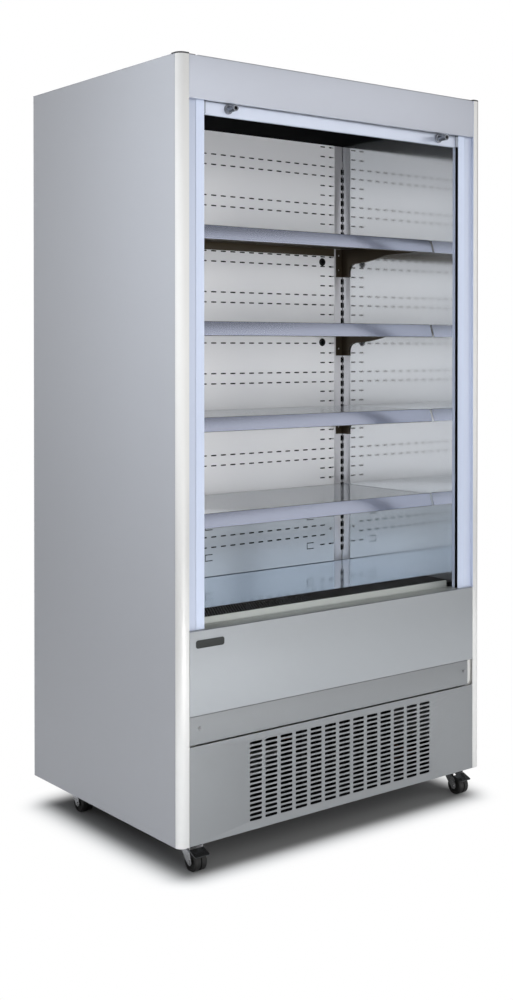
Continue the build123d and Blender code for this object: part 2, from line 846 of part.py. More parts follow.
# Condensing unit behind the slotted panel
cond_x = 110
cond_half = 170
cond_front = 100
cond_back = 170
cond_top = 344
cond_fan_height = 214
cond_fan_radius = 118
cond_fin_slot = 16
cond_fin_pitch = 20
shroud_back = 200

with BuildPart() as condenser_coil:
    block(cond_x - cond_half, cond_x + cond_half, cond_front, cond_back, pan_floor, cond_top)
    with BuildSketch(facing(cond_front)):
        with Locations((cond_x, (pan_floor + cond_top) / 2)):
            with GridLocations(cond_fin_pitch, 0, 16, 1):
                Rectangle(cond_fin_slot, cond_top - pan_floor - cond_fin_slot)
    extrude(amount=-cond_fin_slot, mode=Mode.SUBTRACT)
save(condenser_coil, "condenser_coil")

with BuildPart() as fan_shroud:
    block(cond_x - cond_half, cond_x + cond_half, cond_back + seat_gap, shroud_back,
          pan_floor, cond_top)
    block(cond_x - cond_half + skin, cond_x + cond_half - skin, cond_back, shroud_back - skin,
          pan_floor + skin, cond_top - skin, mode=Mode.SUBTRACT)
    with BuildSketch(facing(shroud_back)):
        with Locations((cond_x, cond_fan_height)):
            Circle(cond_fan_radius + 4)
    extrude(amount=skin, mode=Mode.SUBTRACT)
save(fan_shroud, "fan_shroud")

with BuildPart() as condenser_fan_motor:
    add(motor(cond_x, shroud_back + seat_gap, cond_fan_height, 38, 60, cond_fan_radius + 14))
save(condenser_fan_motor, "condenser_fan_motor")

with BuildPart() as condenser_fan:
    add(axial_fan(cond_x, shroud_back - 2, cond_fan_height, cond_fan_radius, 26, 20, 5))
save(condenser_fan, "condenser_fan")

# Hermetic compressor on four mounts
comp_x = -250
comp_depth = 400
comp_radius = 82
comp_foot = 14
comp_base = pan_floor + comp_foot
comp_height = 200
comp_plate = (200, 150)
comp_plate_sheet = 4
comp_dome = 38
terminal_width = 48
terminal_reach = 26
terminal_heights = (80, 130)

with BuildPart() as compressor:
    with BuildSketch(level(comp_base)):
        with Locations((comp_x, comp_depth)):
            RectangleRounded(*comp_plate, 20)
    extrude(amount=comp_plate_sheet)
    with BuildSketch(level(pan_floor)):
        with Locations((comp_x, comp_depth)):
            with GridLocations(comp_plate[0] - 36, comp_plate[1] - 36, 2, 2):
                Circle(comp_foot - 3)
    extrude(amount=comp_foot)
    with BuildSketch(level(comp_base + comp_plate_sheet)):
        with Locations((comp_x, comp_depth)):
            Circle(comp_radius)
    extrude(amount=comp_height)
    for slice_height in (comp_dome, comp_dome / 3):
        chamfer(compressor.edges().filter_by(GeomType.CIRCLE).group_by(Axis.Z)[-1],
                length=slice_height / 2)
    block(comp_x - terminal_width / 2, comp_x + terminal_width / 2,
          comp_depth - comp_radius - terminal_reach, comp_depth - comp_radius + terminal_reach / 2,
          comp_base + terminal_heights[0], comp_base + terminal_heights[1])
save(compressor, "compressor")

# Control box, condensate tray and mains inlet
box_x = (85 - half, 235 - half)
box_depths = (110, 250)
box_top = 330
lid_height = 14
lid_joint = 1
lid_inset = 2
joint_top = box_top - lid_height + lid_joint
joint_bottom = box_top - lid_height

with BuildPart() as control_box:
    block(*box_x, *box_depths, pan_floor, box_top)
    fillet(control_box.edges().filter_by(Axis.Z), radius=2 * lid_inset)
    block(box_x[0] - lid_joint, box_x[1] + lid_joint, box_depths[0] - lid_joint,
          box_depths[1] + lid_joint, joint_bottom, joint_top, mode=Mode.SUBTRACT)
    block(box_x[0] + lid_inset, box_x[1] - lid_inset, box_depths[0] + lid_inset,
          box_depths[1] - lid_inset, joint_bottom, joint_top)
save(control_box, "control_box")

tray_x = (-40, liquid_hole[0] - 20)
tray_depths = (330, 560)
tray_height = 45
tray_corner = 14
tray_wall = 2
with BuildPart() as drain_tray:
    block(*tray_x, *tray_depths, pan_floor, pan_floor + tray_height)
    fillet(drain_tray.edges().filter_by(Axis.Z), radius=tray_corner)
    offset(amount=-tray_wall, openings=drain_tray.faces().sort_by(Axis.Z)[-1])
save(drain_tray, "drain_tray")

cable_bore = 4.5
gland_length = 10
gland_nut = 16
gland_nut_height = 6
with BuildPart() as mains_inlet:
    with BuildSketch(facing(depth)):
        with Locations((inlet_x, inlet_height)):
            Circle(inlet_radius - slide_gap)
    extrude(amount=gland_length)
    with BuildSketch(facing(depth - skin - seat_gap)):
        with Locations((inlet_x, inlet_height)):
            RegularPolygon(radius=gland_nut, side_count=6)
    extrude(amount=gland_nut_height)
    with BuildSketch(facing(depth)):
        with Locations((inlet_x, inlet_height)):
            Circle(cable_bore)
    extrude(amount=gland_length, mode=Mode.SUBTRACT)
save(mains_inlet, "mains_inlet")

# Refrigerant lines: hot gas, liquid and suction
def tube(points, bend):
    """Round pipe along (x, depth, height) points."""
    with BuildPart() as made:
        with BuildLine() as route:
            FilletPolyline(*[(x, front_y + d, z) for x, d, z in points], radius=bend)
        with BuildSketch(Plane(origin=route.line @ 0, z_dir=route.line % 0)):
            Circle(pipe_radius)
        sweep()
    return made.part


cond_middle = (cond_front + cond_back) / 2
cond_left = cond_x - cond_half - seat_gap
cond_right = cond_x + cond_half + seat_gap
comp_side = comp_radius + seat_gap
pipe_bend = 3 * pipe_radius
gas_turn = -100
gas_height = 240
liquid_height = 112
liquid_inlet = 500
suction_outlet = 540
suction_height = 145
with BuildPart() as refrigerant_pipes:
    add(tube([(comp_x + comp_side, comp_depth, gas_height), (gas_turn, comp_depth, gas_height),
              (gas_turn, cond_middle, gas_height), (cond_left, cond_middle, gas_height)], pipe_bend))
    add(tube([(cond_right, cond_middle, liquid_height), (liquid_hole[0], cond_middle, liquid_height),
              (*liquid_hole, liquid_height), (*liquid_hole, liquid_inlet),
              (liquid_hole[0], coil_back + seat_gap, liquid_inlet)], pipe_bend))
    add(tube([(suction_hole[0], coil_back + seat_gap, suction_outlet), (*suction_hole, suction_outlet),
              (*suction_hole, suction_height), (comp_x, suction_hole[1], suction_height),
              (comp_x, comp_depth + comp_side, suction_height)], pipe_bend))
save(refrigerant_pipes, "refrigerant_pipes")

# Casters: plates with king pins, forks, wheels, and brakes on the front pair
wheel_radius = 25
wheel_width = 36
wheel_trail = 22
tread_groove = 4
tread_edge = 2.5
hub_recess = 3
rim_sheet = 7
plate_half_x = 30
plate_half_d = 27
king_pin = 5
neck_radius = 14
axle_radius = 4
leg_gap = 0.6
leg_sheet = 2
crown_bottom = 62
crown_top = 73
plate_thickness = 2.5
casters = {
    "front_left": (79 - half, front_swivel),
    "front_right": (half - 43, front_swivel),
    "rear_left": (79 - half, rear_swivel),
    "rear_right": (half - 43, rear_swivel),
}
leg_inner = wheel_width / 2 + leg_gap
leg_outer = leg_inner + leg_sheet
neck_bottom = crown_top + seat_gap

with BuildPart() as caster_plates:
    for x, d in casters.values():
        block(x - plate_half_x, x + plate_half_x, d - plate_half_d, d + plate_half_d,
              body_bottom - plate_thickness, body_bottom)
        for radius, z0, z1 in (
            (neck_radius, neck_bottom, body_bottom),
            (king_pin, crown_bottom - 4, body_bottom),
            (king_pin + 3, crown_bottom - 5, crown_bottom - seat_gap),
        ):
            with BuildSketch(level(z0)):
                with Locations((x, d)):
                    Circle(radius)
            extrude(amount=z1 - z0)
save(caster_plates, "caster_plates")

# Points of the brake pedal and the fork legs, as (depth, height), measured
# from the swivel axis of the caster
pedal_pivot = (-14, 57.5)
pedal_pin = 2
pedal_sheet = 1.8
ear_gap = 0.2
ear_sheet = 1.2
pedal_tip = (-52, 43.6)
pedal_root = (-25, 54.7)


def caster_fork(x, d, braked):
    """Swivelling fork with its fixed axle."""
    axle = d - wheel_trail
    with BuildPart() as made:
        block(x - leg_outer, x + leg_outer, d - 18, d + 18, crown_bottom, crown_bottom + 4)
        with BuildSketch(level(crown_bottom + 4)):
            with Locations((x, d)):
                Circle(19)
        extrude(amount=crown_top - crown_bottom - 4)
        chamfer(made.edges().filter_by(GeomType.CIRCLE).group_by(Axis.Z)[-1], length=4)
        for x0 in (x - leg_outer, x + leg_inner):
            with BuildSketch(upright(x0)):
                with BuildLine():
                    Polyline((d - 20, crown_bottom + 4), (d + 18, crown_bottom + 4),
                             (d + 10, 48), (axle + 8.5, wheel_radius - 5),
                             (axle - 8.9, wheel_radius + 1), close=True)
                make_face()
                with Locations((axle, wheel_radius)):
                    Circle(9)
                if braked:
                    with Locations((d + pedal_pivot[0], pedal_pivot[1])):
                        Circle(pedal_pin + bore_gap, mode=Mode.SUBTRACT)
            extrude(amount=leg_sheet)
        with BuildSketch(level(crown_bottom)):
            with Locations((x, d)):
                Circle(king_pin + bore_gap)
        extrude(amount=crown_top, mode=Mode.SUBTRACT)
        with BuildSketch(upright(x - leg_outer - 2)):
            with Locations((axle, wheel_radius)):
                Circle(axle_radius)
        extrude(amount=2 * leg_outer + 4)
    return made.part


def caster_wheel(x, axle):
    """Wheel with a grooved tread and recessed sides."""
    with BuildPart() as made:
        with BuildSketch(upright(x - wheel_width / 2)):
            with Locations((axle, wheel_radius)):
                Circle(wheel_radius)
        extrude(amount=wheel_width)
        chamfer(made.edges().filter_by(GeomType.CIRCLE), length=tread_edge)
        with BuildSketch(upright(x - tread_groove / 2)):
            with Locations((axle, wheel_radius)):
                Circle(wheel_radius + 1)
                Circle(wheel_radius - hub_recess, mode=Mode.SUBTRACT)
        extrude(amount=tread_groove, mode=Mode.SUBTRACT)
        for x0 in (x - wheel_width / 2, x + wheel_width / 2 - hub_recess):
            with BuildSketch(upright(x0)):
                with Locations((axle, wheel_radius)):
                    Circle(wheel_radius - rim_sheet)
                    Circle(2 * axle_radius, mode=Mode.SUBTRACT)
            extrude(amount=hub_recess, mode=Mode.SUBTRACT)
        with BuildSketch(upright(x - wheel_width / 2)):
            with Locations((axle, wheel_radius)):
                Circle(axle_radius + bore_gap)
        extrude(amount=wheel_width, mode=Mode.SUBTRACT)
    return made.part


for name, (x, d) in casters.items():
    with BuildPart() as fork:
        add(caster_fork(x, d, name.startswith("front")))
    save(fork, "caster_fork_" + name)
    with BuildPart() as wheel:
        add(caster_wheel(x, d - wheel_trail))
    save(wheel, "caster_wheel_" + name)

# Brake pedals: bent plate over the wheel, with two ears on a cross pin
pedal_half = leg_outer + ear_gap + ear_sheet
slope = math.degrees(math.atan2(pedal_root[1] - pedal_tip[1], pedal_root[0] - pedal_tip[0]))
pedal_length = math.hypot(pedal_root[1] - pedal_tip[1], pedal_root[0] - pedal_tip[0])

for name in ("front_left", "front_right"):
    x, d = casters[name]
    tip = Plane(origin=(x, front_y + d + pedal_tip[0], pedal_tip[1]), x_dir=(1, 0, 0), z_dir=(0, 0, 1))
    plate_plane = tip.rotated((slope, 0, 0))
    with BuildPart() as pedal:
        with BuildSketch(plate_plane):
            with Locations((0, pedal_length / 2)):
                Rectangle(2 * pedal_half, pedal_length)
        extrude(amount=-pedal_sheet)
        upright_edges = pedal.edges().filter_by(Axis((0, 0, 0), plate_plane.z_dir))
        fillet(upright_edges.sort_by(Axis.Y)[:2], radius=4)
        for x0 in (x - pedal_half, x + leg_outer + ear_gap):
            with BuildSketch(upright(x0)):
                with BuildLine():
                    Polyline((d - 32, 51.6), (d - 23.6, 55.1), (d - 9.5, 60.6), (d - 9, 55),
                             (d - 16, 53), (d - 26, 49), close=True)
                make_face()
            extrude(amount=ear_sheet)
        with BuildSketch(upright(x - pedal_half)):
            with Locations((d + pedal_pivot[0], pedal_pivot[1])):
                Circle(pedal_pin)
        extrude(amount=2 * pedal_half)
    save(pedal, "brake_pedal_" + name)
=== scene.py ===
import math

import bmesh
import bpy
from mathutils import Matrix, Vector


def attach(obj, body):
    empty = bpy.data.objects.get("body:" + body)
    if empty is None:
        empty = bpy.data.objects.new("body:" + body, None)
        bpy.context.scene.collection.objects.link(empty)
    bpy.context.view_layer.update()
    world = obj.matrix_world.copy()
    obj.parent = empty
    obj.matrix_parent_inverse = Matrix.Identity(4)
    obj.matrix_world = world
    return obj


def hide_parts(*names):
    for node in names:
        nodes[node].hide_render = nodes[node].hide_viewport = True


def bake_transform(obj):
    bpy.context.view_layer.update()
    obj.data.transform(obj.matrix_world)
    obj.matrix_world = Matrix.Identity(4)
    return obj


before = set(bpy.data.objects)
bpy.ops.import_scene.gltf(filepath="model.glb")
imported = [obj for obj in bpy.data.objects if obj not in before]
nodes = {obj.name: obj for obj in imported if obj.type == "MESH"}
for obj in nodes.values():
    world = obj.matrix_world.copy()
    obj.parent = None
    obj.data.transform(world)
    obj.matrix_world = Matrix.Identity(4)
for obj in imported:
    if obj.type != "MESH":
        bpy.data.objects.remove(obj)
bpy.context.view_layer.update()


# ---------------------------------------------------------------------------
# Studio: pale floor, white surroundings and soft lamps. The backdrop that the
# metal mirrors darkens upwards and towards the back right. The camera stands to
# the left of the open front, at chest height.
def tone(red, green, blue):
    """A colour read off a screen, from 0 to 255, as the shader's linear values."""
    def linear(value):
        value /= 255
        return value / 12.92 if value <= 0.04045 else ((value + 0.055) / 1.055) ** 2.4
    return (linear(red), linear(green), linear(blue), 1)


def link(tree, source, target):
    tree.links.new(source, target)


def bare():
    """Goes back to object mode with nothing selected."""
    if bpy.context.object and bpy.context.object.mode != "OBJECT":
        bpy.ops.object.mode_set(mode="OBJECT")
    bpy.ops.object.select_all(action="DESELECT")


world = bpy.data.worlds.new("studio")
bpy.context.scene.world = world
world.use_nodes = True
tree = world.node_tree
ambient = tree.nodes["Background"]
ambient.inputs["Color"].default_value = (0.96, 0.98, 1.0, 1)
ambient.inputs["Strength"].default_value = 0.5
white = tree.nodes.new("ShaderNodeBackground")
white.inputs["Color"].default_value = (1, 1, 1, 1)
backdrop = tree.nodes.new("ShaderNodeBackground")
rays = tree.nodes.new("ShaderNodeLightPath")
clear = tree.nodes.new("ShaderNodeMath")
clear.operation = "MAXIMUM"
way = tree.nodes.new("ShaderNodeTexCoord")
split = tree.nodes.new("ShaderNodeSeparateXYZ")
height = tree.nodes.new("ShaderNodeValToRGB")
slant = tree.nodes.new("ShaderNodeMath")
flank = tree.nodes.new("ShaderNodeValToRGB")
for ramp, end, place, shade in ((height, 0, 0.40, 1.0), (height, 1, 0.66, 0.30),
                                (flank, 0, 0.55, 1.0), (flank, 1, 0.80, 0.35)):
    ramp.color_ramp.elements[end].position = place
    ramp.color_ramp.elements[end].color = (shade, shade, shade, 1)
both = tree.nodes.new("ShaderNodeMixRGB")
both.blend_type = "MULTIPLY"
both.inputs["Fac"].default_value = 1
mirrored = tree.nodes.new("ShaderNodeMixShader")
choose = tree.nodes.new("ShaderNodeMixShader")
link(tree, way.outputs["Generated"], split.inputs["Vector"])
link(tree, split.outputs["Z"], height.inputs["Fac"])
link(tree, split.outputs["X"], slant.inputs[0])
link(tree, split.outputs["Y"], slant.inputs[1])
link(tree, slant.outputs["Value"], flank.inputs["Fac"])
link(tree, height.outputs["Color"], both.inputs["Color1"])
link(tree, flank.outputs["Color"], both.inputs["Color2"])
link(tree, both.outputs["Color"], backdrop.inputs["Color"])
link(tree, rays.outputs["Is Glossy Ray"], clear.inputs[0])
link(tree, rays.outputs["Is Transmission Ray"], clear.inputs[1])
link(tree, clear.outputs["Value"], mirrored.inputs["Fac"])
link(tree, ambient.outputs["Background"], mirrored.inputs[1])
link(tree, backdrop.outputs["Background"], mirrored.inputs[2])
link(tree, rays.outputs["Is Camera Ray"], choose.inputs["Fac"])
link(tree, mirrored.outputs["Shader"], choose.inputs[1])
link(tree, white.outputs["Background"], choose.inputs[2])
link(tree, choose.outputs["Shader"], tree.nodes["World Output"].inputs["Surface"])

# The floor's colour is painted dark under the cabinet as its shadow, which ends a hand's width around it.
footprint = (0.47, 0.31, 0)
shadow_rim = 0.14
bare()
bpy.ops.mesh.primitive_circle_add(vertices=64, radius=14, fill_type="NGON", location=(0, 0, 0))
floor = bpy.context.object
floor.name = "studio_floor"
paper = bpy.data.materials.new("pale_floor")
paper.use_nodes = True
tree = paper.node_tree
shader = tree.nodes["Principled BSDF"]
shader.inputs["Roughness"].default_value = 0.9
shader.inputs["Specular IOR Level"].default_value = 0.0
glow = tree.nodes.new("ShaderNodeEmission")
glow.inputs["Color"].default_value = (1, 1, 1, 1)
rays = tree.nodes.new("ShaderNodeLightPath")
place = tree.nodes.new("ShaderNodeTexCoord")
fold = tree.nodes.new("ShaderNodeVectorMath")
fold.operation = "ABSOLUTE"
outside = tree.nodes.new("ShaderNodeVectorMath")
outside.operation = "SUBTRACT"
outside.inputs[1].default_value = footprint
beyond = tree.nodes.new("ShaderNodeVectorMath")
beyond.operation = "MAXIMUM"
beyond.inputs[1].default_value = (0, 0, 0)
reach = tree.nodes.new("ShaderNodeVectorMath")
reach.operation = "LENGTH"
link(tree, place.outputs["Object"], fold.inputs[0])
link(tree, fold.outputs["Vector"], outside.inputs[0])
link(tree, outside.outputs["Vector"], beyond.inputs[0])
link(tree, beyond.outputs["Vector"], reach.inputs[0])
# Painted shadow: the floor's colour darkens towards the footprint.
shade = tree.nodes.new("ShaderNodeMapRange")
shade.interpolation_type = "SMOOTHSTEP"
for key, value in (("From Min", 0.0), ("From Max", shadow_rim), ("To Min", 0.20), ("To Max", 0.9)):
    shade.inputs[key].default_value = value
fade = tree.nodes.new("ShaderNodeMapRange")
fade.interpolation_type = "SMOOTHSTEP"
for key, value in (("From Min", 0.0), ("From Max", shadow_rim)):
    fade.inputs[key].default_value = value
clear = tree.nodes.new("ShaderNodeMath")
clear.operation = "MULTIPLY"
seen = tree.nodes.new("ShaderNodeMixShader")
link(tree, reach.outputs["Value"], shade.inputs["Value"])
link(tree, shade.outputs["Result"], shader.inputs["Base Color"])
link(tree, reach.outputs["Value"], fade.inputs["Value"])
link(tree, fade.outputs["Result"], clear.inputs[0])
link(tree, rays.outputs["Is Camera Ray"], clear.inputs[1])
link(tree, clear.outputs["Value"], seen.inputs["Fac"])
link(tree, shader.outputs["BSDF"], seen.inputs[1])
link(tree, glow.outputs["Emission"], seen.inputs[2])
link(tree, seen.outputs["Shader"], tree.nodes["Material Output"].inputs["Surface"])
floor.data.materials.append(paper)


def softbox(name, place, aim, width, height, watts, colour):
    """A soft lamp that neither the camera nor a mirror sees."""
    lamp = bpy.data.lights.new(name, "AREA")
    lamp.shape = "RECTANGLE"
    lamp.size, lamp.size_y = width, height
    lamp.energy = watts
    lamp.color = colour
    holder = bpy.data.objects.new(name, lamp)
    bpy.context.scene.collection.objects.link(holder)
    holder.location = place
    holder.rotation_euler = (Vector(aim) - Vector(place)).to_track_quat("-Z", "Y").to_euler()
    holder.visible_camera = False
    holder.visible_glossy = False


softbox("by_camera", (-2.6, -3.6, 2.5), (0, 0, 1.0), 2.0, 1.6, 42, (1, 0.99, 0.97))
softbox("front_right", (2.6, -3.4, 2.5), (0, 0, 1.0), 2.4, 1.8, 45, (0.96, 0.98, 1))
softbox("front_low", (-0.3, -3.2, 0.8), (0, 0, 0.95), 1.4, 1.2, 60, (0.98, 0.99, 1))
softbox("corner_strip", (-1.30, -0.50, 1.6), (-0.52, -0.25, 1.4), 0.3, 1.6, 17, (0.86, 0.92, 1))
softbox("back_left", (-3.4, 3.2, 1.8), (-0.5, 0.0, 1.0), 3.0, 3.0, 12, (1, 0.99, 0.98))
softbox("back_right", (3.6, 2.8, 1.8), (0.5, 0.0, 1.0), 3.0, 3.0, 12, (0.97, 0.98, 1))
softbox("overhead", (0.2, 0.2, 4.2), (0.1, 0.1, 0), 2.2, 1.6, 60, (1, 1, 1))

view = bpy.data.cameras.new("camera")
view.lens = 47.93
view.sensor_width = 36
view.shift_y = -0.1376
view.clip_start = 0.05
camera = bpy.data.objects.new("camera", view)
bpy.context.scene.collection.objects.link(camera)
camera.location = (-2.3358, -2.9703, 1.2838)
camera.rotation_euler = (math.radians(89.3965), 0, math.radians(-37.98))
bpy.context.scene.camera = camera
bpy.context.scene.view_settings.view_transform = "Standard"


# ---------------------------------------------------------------------------
# Rolled sheet metal: the grain left by rolling or brushing, broad smudges from
# cleaning cloths, and dust low down. Every sheet piece takes its finish here.
def socket(group, name, kind, way, value=None):
    """One named input or output of a node group."""
    made = group.interface.new_socket(name=name, in_out=way, socket_type=kind)
    if value is not None:
        made.default_value = value


def rolled_grain():
    """Fine lines along one direction and broad smudges, both from 0 to 1."""
    group = bpy.data.node_groups.new("rolled_grain", "ShaderNodeTree")
    socket(group, "Grain Scale", "NodeSocketVector", "INPUT", (40, 40, 900))
    socket(group, "Smudge Scale", "NodeSocketFloat", "INPUT", 3.0)
    socket(group, "Grain", "NodeSocketFloat", "OUTPUT")
    socket(group, "Smudge", "NodeSocketFloat", "OUTPUT")
    entry = group.nodes.new("NodeGroupInput")
    leave = group.nodes.new("NodeGroupOutput")
    place = group.nodes.new("ShaderNodeTexCoord")
    stretch = group.nodes.new("ShaderNodeVectorMath")
    stretch.operation = "MULTIPLY"
    lines = group.nodes.new("ShaderNodeTexNoise")
    lines.inputs["Scale"].default_value = 1
    lines.inputs["Detail"].default_value = 4
    lines.inputs["Roughness"].default_value = 0.65
    smudge = group.nodes.new("ShaderNodeTexNoise")
    smudge.inputs["Detail"].default_value = 5
    smudge.inputs["Roughness"].default_value = 0.55
    smudge.inputs["Distortion"].default_value = 0.8
    link(group, place.outputs["Object"], stretch.inputs[0])
    link(group, entry.outputs["Grain Scale"], stretch.inputs[1])
    link(group, stretch.outputs["Vector"], lines.inputs["Vector"])
    link(group, place.outputs["Object"], smudge.inputs["Vector"])
    link(group, entry.outputs["Smudge Scale"], smudge.inputs["Scale"])
    link(group, lines.outputs["Fac"], leave.inputs["Grain"])
    link(group, smudge.outputs["Fac"], leave.inputs["Smudge"])
    return group


def low_dust():
    """Dust that lies thicker towards the floor, from 0 to 1."""
    group = bpy.data.node_groups.new("low_dust", "ShaderNodeTree")
    socket(group, "Top", "NodeSocketFloat", "INPUT", 0.4)
    socket(group, "Dust", "NodeSocketFloat", "OUTPUT")
    entry = group.nodes.new("NodeGroupInput")
    leave = group.nodes.new("NodeGroupOutput")
    place = group.nodes.new("ShaderNodeTexCoord")
    split = group.nodes.new("ShaderNodeSeparateXYZ")
    height = group.nodes.new("ShaderNodeMapRange")
    height.inputs["To Min"].default_value = 1
    height.inputs["To Max"].default_value = 0
    patches = group.nodes.new("ShaderNodeTexNoise")
    patches.inputs["Scale"].default_value = 60
    patches.inputs["Detail"].default_value = 6
    both = group.nodes.new("ShaderNodeMath")
    both.operation = "MULTIPLY"
    link(group, place.outputs["Object"], split.inputs["Vector"])
    link(group, split.outputs["Z"], height.inputs["Value"])
    link(group, entry.outputs["Top"], height.inputs["From Max"])
    link(group, place.outputs["Object"], patches.inputs["Vector"])
    link(group, height.outputs["Result"], both.inputs[0])
    link(group, patches.outputs["Fac"], both.inputs[1])
    link(group, both.outputs["Value"], leave.inputs["Dust"])
    return group


grain_group = rolled_grain()
dust_group = low_dust()
grain_across, grain_upright = (30, 1500, 1500), (1500, 1500, 30)


def finish(name, colour, metal, rough, grain=grain_across, smudge=2.0, contrast=0.03,
           spread=0.06, bump=0.015, dust=0.06, shine=0.5):
    """A surface whose colour, gloss and relief all follow the rolled grain and its smudges."""
    made = bpy.data.materials.new(name)
    made.use_nodes = True
    tree = made.node_tree
    shader = tree.nodes["Principled BSDF"]
    shader.inputs["Metallic"].default_value = metal
    shader.inputs["Specular IOR Level"].default_value = shine
    pattern = tree.nodes.new("ShaderNodeGroup")
    pattern.node_tree = grain_group
    pattern.inputs["Grain Scale"].default_value = grain
    pattern.inputs["Smudge Scale"].default_value = smudge
    blend = tree.nodes.new("ShaderNodeMath")
    blend.operation = "MULTIPLY_ADD"
    blend.inputs[1].default_value = 0.5
    half = tree.nodes.new("ShaderNodeMath")
    half.operation = "MULTIPLY"
    half.inputs[1].default_value = 0.5
    link(tree, pattern.outputs["Smudge"], half.inputs[0])
    link(tree, pattern.outputs["Grain"], blend.inputs[0])
    link(tree, half.outputs["Value"], blend.inputs[2])
    tint = tree.nodes.new("ShaderNodeValToRGB")
    for end, place, factor in ((0, 0.3, 1 - contrast), (1, 0.7, 1 + contrast)):
        tint.color_ramp.elements[end].position = place
        tint.color_ramp.elements[end].color = [min(c * factor, 1) for c in colour[:3]] + [1]
    link(tree, blend.outputs["Value"], tint.inputs["Fac"])
    dusty = tree.nodes.new("ShaderNodeGroup")
    dusty.node_tree = dust_group
    amount = tree.nodes.new("ShaderNodeMath")
    amount.operation = "MULTIPLY"
    amount.inputs[1].default_value = dust
    link(tree, dusty.outputs["Dust"], amount.inputs[0])
    cover = tree.nodes.new("ShaderNodeMix")
    cover.data_type = "RGBA"
    cover.inputs["B"].default_value = tone(150, 145, 138)
    link(tree, amount.outputs["Value"], cover.inputs["Factor"])
    link(tree, tint.outputs["Color"], cover.inputs["A"])
    link(tree, cover.outputs["Result"], shader.inputs["Base Color"])
    gloss = tree.nodes.new("ShaderNodeMapRange")
    gloss.inputs["From Min"].default_value = 0.3
    gloss.inputs["From Max"].default_value = 0.7
    gloss.inputs["To Min"].default_value = rough * (1 - spread)
    gloss.inputs["To Max"].default_value = min(rough * (1 + spread), 1)
    link(tree, blend.outputs["Value"], gloss.inputs["Value"])
    link(tree, gloss.outputs["Result"], shader.inputs["Roughness"])
    relief = tree.nodes.new("ShaderNodeBump")
    relief.inputs["Strength"].default_value = bump
    relief.inputs["Distance"].default_value = 0.0004
    link(tree, pattern.outputs["Grain"], relief.inputs["Height"])
    link(tree, relief.outputs["Normal"], shader.inputs["Normal"])
    return made


def dress(material, *names):
    """Gives a CAD node, or several, a material."""
    for name in names:
        node = nodes[name]
        if not node.material_slots:
            node.data.materials.append(material)
        for held in node.material_slots:
            held.material = material


satin_panel = finish("satin_panel", tone(150, 151, 155), 0.45, 0.42, grain=grain_upright, contrast=0.02)
dress(satin_panel, "side_panels", "roof_panel")
zinc = finish("zinc_coated", tone(170, 172, 176), 0.8, 0.45, grain=(70, 70, 70), contrast=0.2, smudge=25)
dress(zinc, "back_panel", "roller_brackets", "evaporator_fan_plate", "drain_tray",
      "caster_plates")


# ---------------------------------------------------------------------------
# Corner posts: one folded sheet each, satin steel, with a rounded outer corner
# and a step at the inner edge. The side panel laps behind them.
front = -0.351


def hold(piece, *others):
    """Selects the piece and the others, and nothing else. The piece is the active one."""
    bare()
    for part in (piece, *others):
        part.select_set(True)
    bpy.context.view_layer.objects.active = piece


def edit(piece):
    hold(piece)
    bpy.ops.object.mode_set(mode="EDIT")


def pick(kind, test):
    """Selects only the vertices, edges or faces, in edit mode, whose place passes the test."""
    bpy.ops.mesh.select_mode(type={"verts": "VERT", "edges": "EDGE", "faces": "FACE"}[kind])
    bpy.ops.mesh.select_all(action="DESELECT")
    mesh = bpy.context.object.data
    shape = bmesh.from_edit_mesh(mesh)
    for part in getattr(shape, kind):
        if kind == "verts":
            place = part.co
        elif kind == "faces":
            place = part.calc_center_median()
        else:
            place = (part.verts[0].co + part.verts[1].co) / 2
        if test(place, part):
            part.select_set(True)
    shape.select_flush_mode()
    bmesh.update_edit_mesh(mesh)


def modify(piece, kind, **values):
    """Adds one modifier to the piece and applies it."""
    hold(piece)
    added = piece.modifiers.new(kind.lower(), kind)
    for key, value in values.items():
        setattr(added, key, value)
    bpy.ops.object.modifier_apply(modifier=added.name)


def soften(piece, width, segments=3, degrees=60):
    """Rounds the edges at which the surface turns by more than the angle."""
    modify(piece, "BEVEL", width=width, segments=segments, limit_method="ANGLE",
           angle_limit=math.radians(degrees))


def smooth(piece, degrees=32):
    """Shades the piece smooth, except where it turns by more than the angle."""
    hold(piece)
    bpy.ops.object.shade_smooth_by_angle(angle=math.radians(degrees))


def folded_strip(name, points, sweep, thickness, side, bend=0.0015, rim=0.0003):
    """A sheet folded along lines: one point drawn through all points, then swept across.

    side is the direction in which the first stretch gets its thickness."""
    bare()
    bpy.ops.mesh.primitive_plane_add(size=0.01, location=points[0])
    piece = bpy.context.object
    piece.name = piece.data.name = name
    bpy.ops.object.transform_apply(location=True, rotation=True, scale=True)
    bpy.ops.object.mode_set(mode="EDIT")
    bpy.ops.mesh.select_mode(type="VERT")
    bpy.ops.mesh.select_all(action="SELECT")
    bpy.ops.mesh.merge(type="CENTER")
    for a, b in zip(points, points[1:]):
        bpy.ops.mesh.extrude_region_move(
            TRANSFORM_OT_translate={"value": tuple(q - p for p, q in zip(a, b))})
    bpy.ops.mesh.select_all(action="SELECT")
    bpy.ops.mesh.extrude_region_move(TRANSFORM_OT_translate={"value": sweep})
    bpy.ops.mesh.select_all(action="SELECT")
    bpy.ops.mesh.normals_make_consistent(inside=False)
    bpy.ops.object.mode_set(mode="OBJECT")
    middle = (Vector(points[0]) + Vector(points[1]) + Vector(sweep)) / 2
    first = min(piece.data.polygons, key=lambda face: (face.center - middle).length)
    outward = 1 if first.normal.dot(Vector(side)) > 0 else -1
    if bend:
        soften(piece, bend, degrees=20)
    modify(piece, "SOLIDIFY", thickness=thickness, offset=outward, use_even_offset=True)
    if rim:
        soften(piece, rim, segments=2)
    smooth(piece)
    return piece


def place_on(piece, material, body, slot, *replaced):
    piece.data.materials.clear()
    piece.data.materials.append(material)
    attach(piece, body)
    if replaced:
        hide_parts(*replaced)


